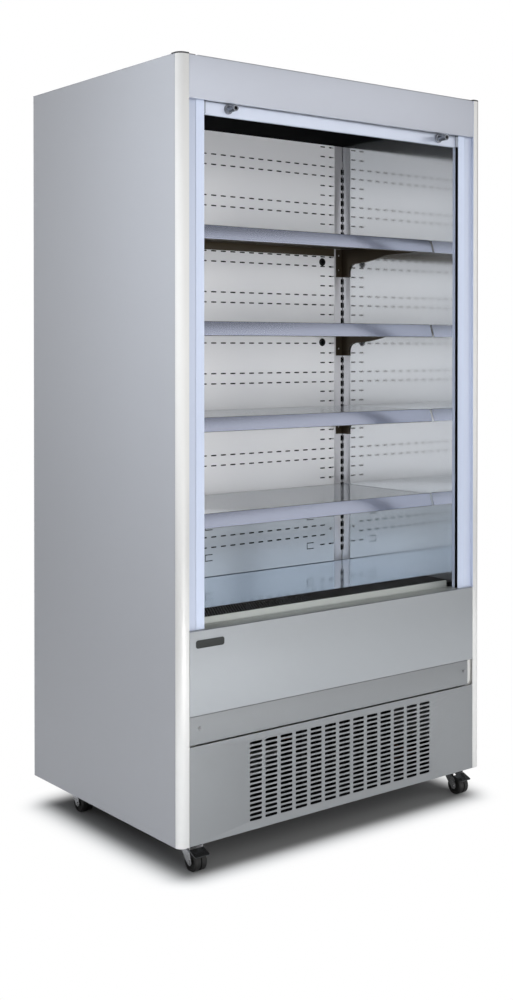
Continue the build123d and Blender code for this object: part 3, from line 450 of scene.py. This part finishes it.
post_steel = finish("post_steel", tone(214, 213, 211), 0.8, 0.3, grain=grain_upright, contrast=0.02)
# A darker, bluish copy of the post's steel for the step faces: painted shade and reflection.
post_step_shade = finish("post_step_shade", tone(190, 197, 214), 0.75, 0.38, grain=grain_upright, contrast=0.02)
post_sheet = 0.0016
post_radius = 0.018
post_bottom, post_top = 0.080, 1.990
post_outside, post_inside, post_back = 0.525, 0.495, 0.034
step_inside, step_face = 0.469, 0.0105
ledge_top = 0.600
nose = [(post_outside - post_radius + post_radius * math.cos(math.radians(a)),
         post_radius - post_radius * math.sin(math.radians(a))) for a in range(0, 91, 6)]
steps = [(post_inside, 0), (post_inside, step_face), (step_inside, step_face), (step_inside, post_back)]
for side, name in ((-1, "post_left"), (1, "post_right")):
    plan = [(0.515, post_back), (0.515, 0.018)] + nose + steps + [(0.483, post_back)]
    post = folded_strip(name, [(side * x, front + d, post_bottom) for x, d in plan],
                        (0, 0, post_top - post_bottom), post_sheet, (-side, 0, 0), bend=0.001)
    place_on(post, post_steel, "cabinet", "satin_steel", "corner_posts")
    post.data.materials.append(post_step_shade)
    edit(post)
    bpy.ops.mesh.select_all(action="SELECT")
    bpy.ops.mesh.bisect(plane_co=(0, 0, ledge_top), plane_no=(0, 0, 1))
    bare()
    # The step faces above the ledge take the painted shade and reflection.
    for face in post.data.polygons:
        if abs(face.center.x) < post_inside + 0.0005 and face.center.z > ledge_top:
            face.material_index = 1


# ---------------------------------------------------------------------------
# Front sheets: fascia over the opening, apron with its level ledge, and the
# screwed strip under it. All are folded from one sheet each and hung on the posts.
# The fascia, apron and vent panel with its strip are one satin steel in three tones, darker downwards; the
# darker tones are painted shade, as the lower sheets mirror the floor's shadow.
front_steel = finish("front_steel", tone(186, 189, 198), 0.8, 0.42, contrast=0.02)
apron_steel = finish("apron_steel", tone(160, 163, 166), 0.85, 0.42, contrast=0.02)
vent_steel = finish("vent_steel", tone(138, 140, 142), 0.85, 0.42, contrast=0.02)
lip_metal = finish("lip_metal", tone(154, 157, 154), 0.45, 0.38, contrast=0.02)
sheet = 0.0012
across = 0.4947
fascia_bottom, apron_bottom = 1.886, 0.394
strip_top, strip_bottom = 0.3937, 0.3243


def across_sheet(name, points, x0, x1, thickness, side, bend=0.0015, rim=0.0003):
    """A sheet folded along lines across the cabinet; points are (depth, height)."""
    return folded_strip(name, [(x0, front + d, z) for d, z in points], (x1 - x0, 0, 0),
                        thickness, side, bend, rim)


fascia = across_sheet("fascia_sheet",
                      [(0.0102, post_top), (0.001, post_top), (0.001, fascia_bottom), (0.009, fascia_bottom)],
                      -across, across, sheet, (0, 0, -1))
place_on(fascia, front_steel, "cabinet", "satin_steel", "fascia")

apron = across_sheet("apron_sheet",
                     [(0.010, apron_bottom), (0, apron_bottom), (0, ledge_top), (0.0102, ledge_top)],
                     -across, across, sheet, (0, 0, 1))
place_on(apron, apron_steel, "cabinet", "satin_steel", "apron")
ledge = across_sheet("apron_ledge", [(0.0100, ledge_top), (0.0527, ledge_top)],
                     -0.4685, 0.4685, sheet, (0, 0, -1))
place_on(ledge, lip_metal, "cabinet", "satin_steel", "apron")

strip = across_sheet("screw_strip_sheet",
                     [(0.010, strip_top), (0.0004, strip_top), (0.0004, strip_bottom), (0.010, strip_bottom)],
                     -across, 0.4746, sheet, (0, 0, -1))
place_on(strip, vent_steel, "cabinet", "satin_steel", "screw_strip")


# ---------------------------------------------------------------------------
# Cross-head screws, zinc plated, with a rounded head and a cross recess. Two of
# them hold the strip to the posts.
def cylinder(name, radius, length, centre, sides=32):
    """A round blank whose axis runs from front to back through the centre."""
    bare()
    bpy.ops.mesh.primitive_cylinder_add(vertices=sides, radius=radius, depth=length,
                                        location=centre, rotation=(math.pi / 2, 0, 0))
    piece = bpy.context.object
    piece.name = piece.data.name = name
    bpy.ops.object.transform_apply(location=True, rotation=True, scale=True)
    return piece


def blank(name, x0, x1, d0, d1, z0, z1):
    """A rectangular blank given by its limits; d counts backwards from the posts."""
    bare()
    bpy.ops.mesh.primitive_cube_add(
        size=1, location=((x0 + x1) / 2, front + (d0 + d1) / 2, (z0 + z1) / 2))
    piece = bpy.context.object
    piece.name = piece.data.name = name
    piece.scale = (x1 - x0, d1 - d0, z1 - z0)
    bpy.ops.object.transform_apply(location=True, rotation=True, scale=True)
    return piece


def drill(piece, *cutters):
    """Cuts the cutters out of the piece and removes them."""
    for cutter in cutters:
        modify(piece, "BOOLEAN", operation="DIFFERENCE", solver="EXACT", object=cutter)
        bpy.data.objects.remove(cutter)


screw_metal = finish("zinc_screws", tone(150, 150, 152), 0.9, 0.35, grain=(300, 300, 300), contrast=0.15)
screw_radius, screw_height = 0.0045, 0.3635
recess_arm, recess_half = 0.0024, 0.0004
for name, x in (("strip_screw_left", -0.465), ("strip_screw_right", 0.460)):
    screw = cylinder(name, screw_radius, 0.0024, (x, front - 0.0008, screw_height))
    soften(screw, 0.0010)
    for wide, high in ((recess_arm, recess_half), (recess_half, recess_arm)):
        drill(screw, blank("recess", x - wide, x + wide, -0.003, -0.0008,
                           screw_height - high, screw_height + high))
    smooth(screw)
    place_on(screw, screw_metal, "cabinet", "bright_metal", "panel_screws")


# ---------------------------------------------------------------------------
# Slotted panel in front of the machine compartment: a shallow tray of satin
# steel, punched with rows of long round-ended slots.
def tray(name, x0, x1, d0, d1, z0, z1, thickness):
    """A sheet with four returned edges, open at the back."""
    piece = blank(name, x0, x1, d0, d1, z0, z1)
    edit(piece)
    pick("faces", lambda place, part: part.normal.y > 0.9)
    bpy.ops.mesh.delete(type="FACE")
    bare()
    modify(piece, "SOLIDIFY", thickness=thickness, offset=-1, use_even_offset=True)
    return piece


def repeat(piece, count, step, **merging):
    """Sets copies of the piece in a row, each one step further."""
    modify(piece, "ARRAY", count=count, use_relative_offset=False, use_constant_offset=True,
           constant_offset_displace=step, **merging)


def slot_cutter(x, d, z, length, height, deep, columns, pitch_x, rows=1, pitch_z=0.01):
    """Round-ended punches in columns and rows: the first at x and z, the rest to its left and below."""
    punch = cylinder("punch", height / 2, deep, (x, front + d + deep / 2, z), sides=12)
    edit(punch)
    reach = (length - height) / 2
    for way in (-1, 1):
        pick("verts", lambda place, part: (place.x - x) * way > 1e-5)
        bpy.ops.transform.translate(value=(way * reach, 0, 0))
    bare()
    repeat(punch, columns, (-pitch_x, 0, 0))
    if rows > 1:
        repeat(punch, rows, (0, 0, -pitch_z))
    return punch


vent_columns, vent_pitch_x = 13, 0.0495
vent_rows, vent_pitch_z = 17, 0.012
vent_middle_x, vent_middle_z = 0.005, 0.202
punch_depth = 0.006
vent = tray("vent_panel_sheet", -across, across, 0.0004, 0.0102, 0.0803, 0.3206, sheet)
drill(vent, slot_cutter(vent_middle_x + vent_columns // 2 * vent_pitch_x, -0.002,
                        vent_middle_z + vent_rows // 2 * vent_pitch_z, 0.039, 0.0075, punch_depth,
                        vent_columns, vent_pitch_x, vent_rows, vent_pitch_z))
soften(vent, 0.0004, segments=2)
smooth(vent)
place_on(vent, vent_steel, "cabinet", "satin_steel", "vent_panel")


# ---------------------------------------------------------------------------
# Badge place on the apron: a bare dark plate with rounded ends and a raised rim,
# moulded in plastic and stuck on.
badge_black = finish("badge_black", tone(30, 32, 31), 0.2, 0.35, grain=(5, 300, 300), contrast=0.2)
badge = blank("badge_plate", -0.4765, -0.3915, -0.0012, 0.0, 0.5575, 0.5775)
edit(badge)
pick("edges", lambda place, part: abs(part.verts[0].co.y - part.verts[1].co.y) > 0.001)
bpy.ops.mesh.bevel(offset=0.006, segments=6)
pick("faces", lambda place, part: part.normal.y < -0.9)
bpy.ops.mesh.inset(thickness=0.0009, depth=-0.0003)
bare()
soften(badge, 0.0002, segments=2, degrees=50)
smooth(badge)
place_on(badge, badge_black, "cabinet", "black_plastic")


# ---------------------------------------------------------------------------
# Caps that close the tops of the posts: black moulded plastic, pushed in, with
# softly rounded edges.
cap_black = finish("cap_black", tone(38, 38, 40), 0.0, 0.45, grain=(220, 220, 220), contrast=0.2)
cap_height = 0.004
for side, name in ((-1, "post_cap_left"), (1, "post_cap_right")):
    plan = [(post_outside, post_back)] + nose + steps
    bare()
    bpy.ops.mesh.primitive_circle_add(vertices=len(plan), radius=0.01, fill_type="NGON",
                                      location=(0, 0, 0))
    cap = bpy.context.object
    cap.name = cap.data.name = name
    for vertex, (x, d) in zip(cap.data.vertices, plan):
        vertex.co = (side * x, front + d, post_top)
    edit(cap)
    bpy.ops.mesh.select_all(action="SELECT")
    bpy.ops.mesh.extrude_region_move(TRANSFORM_OT_translate={"value": (0, 0, cap_height)})
    bpy.ops.mesh.select_all(action="SELECT")
    bpy.ops.mesh.normals_make_consistent(inside=False)
    bare()
    soften(cap, 0.0012)
    smooth(cap)
    place_on(cap, cap_black, "cabinet", "black_plastic", "post_caps")


# ---------------------------------------------------------------------------
# Guides of the night blind: extruded aluminium, one in the step of each post. The groove in
# which the sliders run is painted black as shade.
guide_metal = finish("guide_aluminium", tone(186, 194, 212), 0.75, 0.36, grain=grain_upright, contrast=0.02)
groove_depth, groove_half = 0.01685, 0.0050
tree = guide_metal.node_tree
shader = tree.nodes["Principled BSDF"]
place = tree.nodes.new("ShaderNodeTexCoord")
split = tree.nodes.new("ShaderNodeSeparateXYZ")
groove = tree.nodes.new("ShaderNodeMath")
groove.operation = "COMPARE"
groove.inputs[1].default_value = front + groove_depth
groove.inputs[2].default_value = groove_half
# Black painted into the groove as shade, with the metal taken out there.
groove_shade = tree.nodes.new("ShaderNodeMix")
groove_shade.data_type = "RGBA"
groove_shade.inputs["B"].default_value = tone(12, 12, 13)
metal = tree.nodes.new("ShaderNodeMapRange")
metal.inputs["To Min"].default_value = 0.6
metal.inputs["To Max"].default_value = 0.0
link(tree, place.outputs["Object"], split.inputs["Vector"])
link(tree, split.outputs["Y"], groove.inputs[0])
link(tree, groove.outputs["Value"], groove_shade.inputs["Factor"])
link(tree, shader.inputs["Base Color"].links[0].from_socket, groove_shade.inputs["A"])
link(tree, groove_shade.outputs["Result"], shader.inputs["Base Color"])
link(tree, groove.outputs["Value"], metal.inputs["Value"])
link(tree, metal.outputs["Result"], shader.inputs["Metallic"])
dress(guide_metal, "blind_guides")


# ---------------------------------------------------------------------------
# Nosing in front of the return air grille: a light folded strip that also
# carries the grille's front edge.
lip = across_sheet("grille_lip",
                   [(0.0447, 0.6013), (0.054, 0.6013), (0.054, 0.618),
                    (0.059, 0.618), (0.059, 0.603), (0.069, 0.603)],
                   -0.4434, 0.4434, 0.001, (0, 0, -1), bend=0.0008)
place_on(lip, lip_metal, "cabinet", "satin_steel", "front_lip")


# ---------------------------------------------------------------------------
# Honeycomb grilles: black moulded plastic, one over the return air duct in the
# floor and one under the air discharge at the ceiling.
grille_black = finish("grille_black", tone(10, 10, 10), 0.0, 0.6, grain=(200, 200, 200), contrast=0.3,
                      shine=0.1)
duct_black = finish("duct_grille_black", tone(24, 22, 19), 0.0, 0.4, grain=(200, 200, 200), contrast=0.3)


def honeycomb(name, d0, d1, z0, z1, half=0.4825, cell=0.0085, wall=0.0016):
    """A framed sheet of six-sided cells over the whole width."""
    bare()
    x0, x1 = -half, half
    radius = cell / math.sqrt(3)
    step = cell * math.sqrt(3) / 2
    bpy.ops.mesh.primitive_circle_add(vertices=6, radius=radius, fill_type="NGON",
                                      location=(x0, front + d0, z0))
    piece = bpy.context.object
    piece.name = piece.data.name = name
    bpy.ops.object.transform_apply(location=True, rotation=True, scale=True)
    edit(piece)
    bpy.ops.mesh.select_all(action="SELECT")
    bpy.ops.mesh.inset(thickness=wall / 2, depth=0)
    bpy.ops.mesh.delete(type="FACE")
    bare()
    columns = math.ceil((x1 - x0) / cell) + 1
    rows = math.ceil((d1 - d0) / (2 * step)) + 1
    for count, way in ((2, (cell / 2, step, 0)), (columns, (cell, 0, 0)), (rows, (0, 2 * step, 0))):
        repeat(piece, count, way, use_merge_vertices=True, merge_threshold=1e-5)
    edit(piece)
    inset = 0.001
    for place, way in (((x0 + inset, 0, 0), (-1, 0, 0)), ((x1 - inset, 0, 0), (1, 0, 0)),
                       ((0, front + d0 + inset, 0), (0, -1, 0)), ((0, front + d1 - inset, 0), (0, 1, 0))):
        bpy.ops.mesh.select_all(action="SELECT")
        bpy.ops.mesh.bisect(plane_co=place, plane_no=way, clear_outer=True)
    bpy.ops.mesh.select_all(action="SELECT")
    bpy.ops.mesh.remove_doubles(threshold=1e-5)
    bare()
    modify(piece, "SOLIDIFY", thickness=z1 - z0 - inset, offset=1)
    rim = blank(name + "_rim", x0, x1, d0, d1, z0, z1)
    edit(rim)
    pick("faces", lambda place, part: abs(part.normal.z) > 0.9)
    bpy.ops.mesh.delete(type="FACE")
    bare()
    modify(rim, "SOLIDIFY", thickness=0.002, offset=-1, use_even_offset=True)
    hold(piece, rim)
    bpy.ops.object.join()
    return piece


return_grille = honeycomb("return_honeycomb", 0.0603, 0.1773, 0.6036, 0.6108)
place_on(return_grille, duct_black, "cabinet", "black_plastic", "return_grille")
discharge = honeycomb("discharge_honeycomb", 0.063, 0.160, 1.9166, 1.9300)
place_on(discharge, grille_black, "cabinet", "black_plastic", "air_discharge_grille")


# ---------------------------------------------------------------------------
# Back wall: a perforated air panel above a lower panel with fewer slots and with
# lanced tabs. Both are trays of bright steel with returned edges.
wall_steel = finish("wall_steel", tone(240, 240, 242), 0.3, 0.3, contrast=0.01, bump=0.0)
wall_face, wall_back, wall_half = 0.548, 0.562, 0.4494
wall_bottom, wall_seam, wall_top = 0.6125, 0.800, 1.9222
seam_gap = 0.0003
column_first, column_pitch, columns = 0.436, 0.03526, 26
slot_long, slot_high = 0.0202, 0.0042
punch_face = wall_face - 0.002


def slot_row(z, first=column_first, count=2):
    """The punch for one row of slots in the back wall."""
    return slot_cutter(first, punch_face, z, slot_long, slot_high, punch_depth, count, column_pitch)


def slot_ends(z):
    """The punches for a row that has slots only beside the uprights."""
    return [slot_row(z), slot_row(z, column_pitch - column_first)]


air_panel = tray("air_panel_sheet", -wall_half, wall_half, wall_face, wall_back, wall_seam + seam_gap,
                 wall_top, sheet)
punches = []
for top, count, pitch, start in ((1.9154, 11, 0.0302, 2), (1.5710, 25, 0.03015, 0)):
    for row in range(count):
        z = top - row * pitch
        punches += [slot_row(z, count=columns)] if (row - start) % 4 < 2 else slot_ends(z)
hold(*punches)
bpy.ops.object.join()
grommet_places = [(x, z) for z in (1.5545, 1.303) for x in (-0.3985, 0.3985)]
hole_radius = 0.009
drill(air_panel, punches[0],
      *[cylinder("hole", hole_radius, punch_depth, (x, front + wall_face + 0.001, z))
        for x, z in grommet_places])
smooth(air_panel)
place_on(air_panel, wall_steel, "cabinet", "satin_steel", "rear_air_panel")

lower = tray("lower_panel_sheet", -wall_half, wall_half, wall_face, wall_back, wall_bottom, wall_seam, sheet)
cutters = [slot_row(z, column_first - column_pitch, columns - 2) for z in (0.728, 0.6975)]
cutters += slot_ends(0.6676)
tab_middle, tab_pitch = -0.0405, 0.3907
tab_out, tab_in, tab_high, tab_low = 0.014, 0.0115, 0.0102, 0.0077
for z in (0.6677, 0.7585):
    for x in (tab_middle + tab_pitch * k for k in (-1, 0, 1)):
        for x0, x1, z0, z1 in ((x - tab_out, x - tab_in, z - tab_high, z + tab_high),
                               (x - tab_in, x + tab_out, z + tab_low, z + tab_high),
                               (x - tab_in, x + tab_out, z - tab_high, z - tab_low)):
            cutters.append(blank("lance", x0, x1, punch_face, wall_face + 0.004, z0, z1))
drill(lower, *cutters)
smooth(lower)
# The lower panel takes a darker copy of the wall's steel, as painted shade low in the display space.
lower_shaded_steel = finish("lower_wall_shaded_steel", tone(198, 205, 212), 0.6, 0.25, contrast=0.01, bump=0.0)
place_on(lower, lower_shaded_steel, "cabinet", "satin_steel", "lower_back_panel")
for name, x in (("wall_screw_left", -0.4345), ("wall_screw_right", 0.4345)):
    screw = cylinder(name, screw_radius, 0.002, (x, front + wall_face - 0.001, 0.715))
    soften(screw, 0.0009)
    smooth(screw)
    place_on(screw, screw_metal, "cabinet", "bright_metal")


# ---------------------------------------------------------------------------
# Cable grommets: black rubber rings that line the holes of the back wall. Each
# is pressed in, so its rear half lies behind the sheet.
rubber_black = finish("grommet_rubber", tone(24, 23, 23), 0.0, 0.6, grain=(200, 200, 200), contrast=0.3)
for count, (x, z) in enumerate(grommet_places):
    bare()
    bpy.ops.mesh.primitive_torus_add(
        major_segments=32, minor_segments=10, major_radius=0.0096, minor_radius=0.0026,
        location=(x, front + wall_face - 0.0004, z), rotation=(math.pi / 2, 0, 0))
    ring = bpy.context.object
    ring.name = ring.data.name = "grommet_%d" % (count + 1)
    bpy.ops.object.transform_apply(location=True, rotation=True, scale=True)
    edit(ring)
    pick("verts", lambda place, part: place.y > front + wall_face - 0.0002)
    bpy.ops.transform.translate(value=(0, 0.004, 0))
    bare()
    smooth(ring, 60)
    place_on(ring, rubber_black, "cabinet", "black_plastic", "cable_grommets")


# ---------------------------------------------------------------------------
# Inside of the display space: polished side liners, brushed slotted uprights in
# the rear corners, black ceiling and a bright deck over the evaporator.
mirror_steel = finish("polished_liner", tone(246, 249, 252), 0.92, 0.085, grain=grain_upright,
                      contrast=0.01, bump=0.0)
dress(mirror_steel, "side_liners")
upright_steel = finish("upright_steel", tone(208, 207, 211), 0.6, 0.3, grain=grain_upright,
                       contrast=0.02, bump=0.0)
column_bottom, column_top, column_back = 0.6115, 1.9220, 0.573
column_inside, column_outside = 0.4500, 0.4819
slot_x, slot_top, slot_reach = 0.4788, 1.8671, 0.0060
slot_pitch, slot_count = 0.0248, 50
for side, name in ((-1, "upright_left"), (1, "upright_right")):
    upright = folded_strip(name, [(side * x, front + d, column_bottom) for x, d in (
        (column_inside, column_back), (column_inside, wall_face),
        (column_outside, wall_face), (column_outside, column_back))],
        (0, 0, column_top - column_bottom), 0.002, (side, 0, 0), bend=0.0012)
    punch = cylinder("punch", 0.0031, punch_depth, (side * slot_x, front + wall_face + 0.001, slot_top),
                     sides=12)
    edit(punch)
    for way in (-1, 1):
        pick("verts", lambda place, part: (place.z - slot_top) * way > 1e-5)
        bpy.ops.transform.translate(value=(0, 0, way * slot_reach))
    bare()
    repeat(punch, slot_count, (0, 0, -slot_pitch))
    drill(upright, punch)
    smooth(upright)
    place_on(upright, upright_steel, "cabinet", "satin_steel", "slotted_uprights")
    # Faces behind the front of the upright are painted black, as the shade inside the channel seen through
    # its slots.
    upright.data.materials.append(grille_black)
    for face in upright.data.polygons:
        if face.center.y > front + wall_face + 0.0012:
            face.material_index = 1
# The ceiling is black, and is made almost pure black with hardly any gloss as painted shade under the fascia.
ceiling_black = finish("ceiling_black", tone(2, 2, 3), 0.0, 0.9, grain=(30, 600, 600), contrast=0.15,
                       dust=0.0, shine=0.02)
dress(ceiling_black, "ceiling_panel")
deck_steel = finish("deck_steel", tone(210, 228, 248), 0.85, 0.1, contrast=0.02)
dress(deck_steel, "deck_plate")


# ---------------------------------------------------------------------------
# Shelves: plate, inclined price rail and bottom return folded from one sheet,
# with a stiffening flange along the back. Each rests on two hooked brackets.
# The price rail takes a darker, bluish copy of the shelf steel, and the underside and back flange a dark
# brown: both are painted shade.
shelf_steel = finish("shelf_steel", tone(214, 220, 226), 0.85, 0.14, contrast=0.02)
rail_shaded_steel = finish("rail_shaded_steel", tone(160, 165, 182), 0.9, 0.24, contrast=0.02)
shelf_underside = finish("shelf_underside", tone(66, 58, 46), 0.35, 0.35, contrast=0.03)
shelf_half, flange_half = 0.479, 0.444
shelf_first, shelf_pitch = 1.6025, 0.248
shelf_back, rail_back = 0.544, 0.158
for number in range(4):
    top = shelf_first - number * shelf_pitch
    plate = top - 0.004
    shelf = across_sheet("shelf_%d_sheet" % (number + 1),
                         [(shelf_back, plate), (0.174, plate), (rail_back, top), (0.1458, top - 0.037),
                          (0.1528, top - 0.0385)],
                         -shelf_half, shelf_half, sheet, (0, 0, -1), bend=0.002)
    flange = across_sheet("flange", [(shelf_back, plate - 0.001), (shelf_back, plate - 0.025)],
                          -flange_half, flange_half, sheet, (0, -1, 0), bend=0)
    hold(shelf, flange)
    bpy.ops.object.join()
    place_on(shelf, shelf_steel, "shelf_%d" % (number + 1), "shelf_steel", "shelf_%d" % (number + 1))
    shelf.data.materials.append(shelf_underside)
    shelf.data.materials.append(rail_shaded_steel)
    # Faces underneath and behind get the painted shade, and the rail's front faces the darker rail copy.
    for face in shelf.data.polygons:
        hangs = face.center.z < plate - 0.0015 and face.center.y > front + rail_back + 0.007
        if face.normal.z < -0.5 or face.normal.y > 0.5 or hangs:
            face.material_index = 1
        elif face.center.y < front + rail_back + 0.002:
            face.material_index = 2
# The brackets are steel painted dark brown as the shade and reflection under the shelves.
bracket_shaded_steel = finish("bracket_shaded_steel", tone(74, 66, 54), 0.7, 0.3, grain=(300, 6, 300), contrast=0.1)
dress(bracket_shaded_steel, "shelf_brackets")


# ---------------------------------------------------------------------------
# Night blind: bright bar with two pull knobs and end sliders, woven cloth on a
# spring roller behind the fascia.
bar_metal = finish("bar_aluminium", tone(196, 202, 216), 0.75, 0.3, contrast=0.02)
bar_half, bar_front = 0.437, 0.0158
bar = blank("blind_bar_profile", -bar_half, bar_half, bar_front, 0.022, 1.853, 1.887)
edit(bar)
pick("edges", lambda place, part: abs(part.verts[0].co.x - part.verts[1].co.x) > bar_half
     and place.y < front + bar_front + 0.001)
bpy.ops.mesh.bevel(offset=0.0022, segments=5)
bare()
soften(bar, 0.0003, segments=2)
smooth(bar)
place_on(bar, bar_metal, "blind_bar", "bright_metal", "blind_bar")

slider_plastic = finish("slider_plastic", tone(120, 124, 132), 0.0, 0.4, grain=(200, 200, 200),
                        contrast=0.1)
for side, name in ((-1, "slider_left"), (1, "slider_right")):
    x0, x1 = sorted((side * 0.4373, side * 0.463))
    slider = blank(name, x0, x1, 0.0121, 0.0216, 1.855, 1.885)
    soften(slider, 0.0018)
    smooth(slider)
    place_on(slider, slider_plastic, "blind_bar", "black_plastic", "blind_sliders")

knob_metal = finish("knob_metal", tone(132, 135, 142), 0.9, 0.22, grain=(300, 60, 300), contrast=0.06)
knob_hollow_shade = finish("knob_bore_painted_shade", tone(20, 20, 22), 0.0, 0.5, grain=(300, 300, 300), contrast=0.2)
knob_x, knob_height, knob_radius, knob_length = 0.368, 1.872, 0.0122, 0.0298
bore_radius, bore_length = 0.0047, 0.014
for side, name in ((-1, "pull_knob_left"), (1, "pull_knob_right")):
    x, z = side * knob_x, knob_height
    knob = cylinder(name, knob_radius, 0.004, (x, front + 0.0138, z), sides=40)
    edit(knob)
    pick("faces", lambda place, part: part.normal.y < -0.9)
    bpy.ops.mesh.inset(thickness=0.0042, depth=0)
    bpy.ops.mesh.extrude_region_move(TRANSFORM_OT_translate={"value": (0, -knob_length, 0)})
    bpy.ops.mesh.inset(thickness=0.0033, depth=0)
    bpy.ops.mesh.extrude_region_move(TRANSFORM_OT_translate={"value": (0, bore_length, 0)})
    bare()
    soften(knob, 0.0007)
    smooth(knob)
    place_on(knob, knob_metal, "blind_bar", "bright_metal", "blind_knobs")
    # The faces inside the bore are painted near black, as the shade in the hollow.
    knob.data.materials.append(knob_hollow_shade)
    for face in knob.data.polygons:
        away = math.hypot(face.center.x - x, face.center.z - z)
        if away < bore_radius and face.center.y > front - 0.0175:
            face.material_index = 1

roll_core = finish("roller_tube", tone(170, 172, 176), 0.8, 0.35, grain=(5, 300, 300), contrast=0.08)
dress(roll_core, "blind_roller")


# ---------------------------------------------------------------------------
# Cloth of the night blind: one woven strip, wound twelve times on its tube. Its
# end hangs down to the bar and is clamped there.
cloth = bpy.data.materials.new("blind_cloth")
cloth.use_nodes = True
tree = cloth.node_tree
shader = tree.nodes["Principled BSDF"]
shader.inputs["Roughness"].default_value = 0.85
shader.inputs["Sheen Weight"].default_value = 0.2
place = tree.nodes.new("ShaderNodeTexCoord")
weave = tree.nodes.new("ShaderNodeTexWave")
weave.wave_type = "BANDS"
weave.bands_direction = "DIAGONAL"
weave.inputs["Scale"].default_value = 900
weave.inputs["Distortion"].default_value = 1.5
tint = tree.nodes.new("ShaderNodeValToRGB")
tint.color_ramp.elements[0].color = tone(142, 144, 147)
tint.color_ramp.elements[1].color = tone(172, 174, 178)
relief = tree.nodes.new("ShaderNodeBump")
relief.inputs["Strength"].default_value = 0.3
relief.inputs["Distance"].default_value = 0.0003
link(tree, place.outputs["Object"], weave.inputs["Vector"])
link(tree, weave.outputs["Fac"], tint.inputs["Fac"])
link(tree, tint.outputs["Color"], shader.inputs["Base Color"])
link(tree, weave.outputs["Fac"], relief.inputs["Height"])
link(tree, relief.outputs["Normal"], shader.inputs["Normal"])
tube_radius = 0.0150
roll_depth, roll_height = 0.0394, 1.937
cloth_depth, cloth_half, cloth_thickness, hem_height = 0.0189, 0.430, 0.0002, 1.8848
turns, steps_a_turn, hanging_steps = 12, 48, 12
outer = roll_depth - cloth_depth
wound = []
for step in range(turns * steps_a_turn + 1):
    radius = outer - (outer - tube_radius) * step / (turns * steps_a_turn)
    angle = math.pi - 2 * math.pi * step / steps_a_turn
    wound.append((roll_depth + radius * math.cos(angle), roll_height + radius * math.sin(angle)))
hanging = [(cloth_depth, roll_height - k * (roll_height - hem_height) / hanging_steps)
           for k in range(hanging_steps, 0, -1)]
path = hanging + wound
fabric = across_sheet("blind_fabric_cloth", path, -cloth_half, cloth_half, cloth_thickness,
                      (0, -1, 0), bend=0, rim=0)
place_on(fabric, cloth, "cabinet", "blind_cloth", "blind_fabric")
fabric.parent = None
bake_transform(fabric)


# ---------------------------------------------------------------------------
# Machine compartment and cold air parts, seen through the slots and grilles: dark coil, pan and
# enamel, bare motors, plastic fans, copper pipes and foam. Their near black is partly their own
# colour and partly painted shade.
fin_metal = finish("fin_aluminium", tone(185, 188, 190), 0.8, 0.4, grain=(900, 40, 40), contrast=0.2)
dress(fin_metal, "evaporator_coil")
# Near black on coil, pan, compressor, shroud and control box: partly their own colour, partly painted shade
# that keeps the slots dark.
coil_black = finish("coil_black", tone(8, 8, 9), 0.0, 0.6, grain=(900, 40, 40), contrast=0.25,
                    dust=0.0, shine=0.15)
dress(coil_black, "condenser_coil")
pan_black = finish("pan_black", tone(9, 9, 10), 0.0, 0.7, grain=(200, 200, 200), contrast=0.3,
                   dust=0.0, shine=0.1)
dress(pan_black, "base_pan")
motor_metal = finish("motor_housing", tone(90, 92, 96), 0.6, 0.5, grain=(150, 150, 150), contrast=0.2)
dress(motor_metal, "condenser_fan_motor", "evaporator_fan_motors")
black_enamel_and_shade = finish("black_enamel_and_shade", tone(14, 15, 16), 0.0, 0.45, grain=(120, 120, 120),
                      contrast=0.25, dust=0.02, shine=0.25)
dress(black_enamel_and_shade, "compressor", "fan_shroud", "control_box")
fan_plastic = finish("fan_plastic", tone(32, 33, 35), 0.0, 0.45, grain=(150, 150, 150), contrast=0.2)
dress(fan_plastic, "condenser_fan", "evaporator_fan_left", "evaporator_fan_right", "mains_inlet")
copper = finish("copper_pipe", tone(120, 72, 50), 0.95, 0.32, grain=(90, 90, 90), contrast=0.25)
dress(copper, "refrigerant_pipes")
foam = finish("insulation_foam", tone(222, 206, 160), 0.0, 0.9, grain=(120, 120, 120), contrast=0.12)
dress(foam, "insulation")
liner_metal = finish("duct_lining", tone(22, 22, 24), 0.1, 0.6, grain=(60, 60, 60), contrast=0.15)
dress(liner_metal, "inner_liner")


# ---------------------------------------------------------------------------
# Casters: zinc-plated forks and black rubber wheels, which turn on plates under
# the base. The front pair has brake pedals of bare pressed metal.
fork_zinc = finish("caster_zinc", tone(190, 190, 192), 0.9, 0.25, grain=(90, 90, 90), contrast=0.2,
                   dust=0.1)
wheel_rubber = finish("wheel_rubber", tone(12, 12, 13), 0.0, 0.45, grain=(150, 150, 150),
                      contrast=0.25, dust=0.04, shine=0.3)
pedal_metal = finish("pedal_metal", tone(104, 106, 108), 0.9, 0.22, grain=(90, 90, 90), contrast=0.2,
                     dust=0.1)
for place in ("front_left", "front_right", "rear_left", "rear_right"):
    dress(fork_zinc, "caster_fork_" + place)
    dress(wheel_rubber, "caster_wheel_" + place)
dress(pedal_metal, "brake_pedal_front_left", "brake_pedal_front_right")
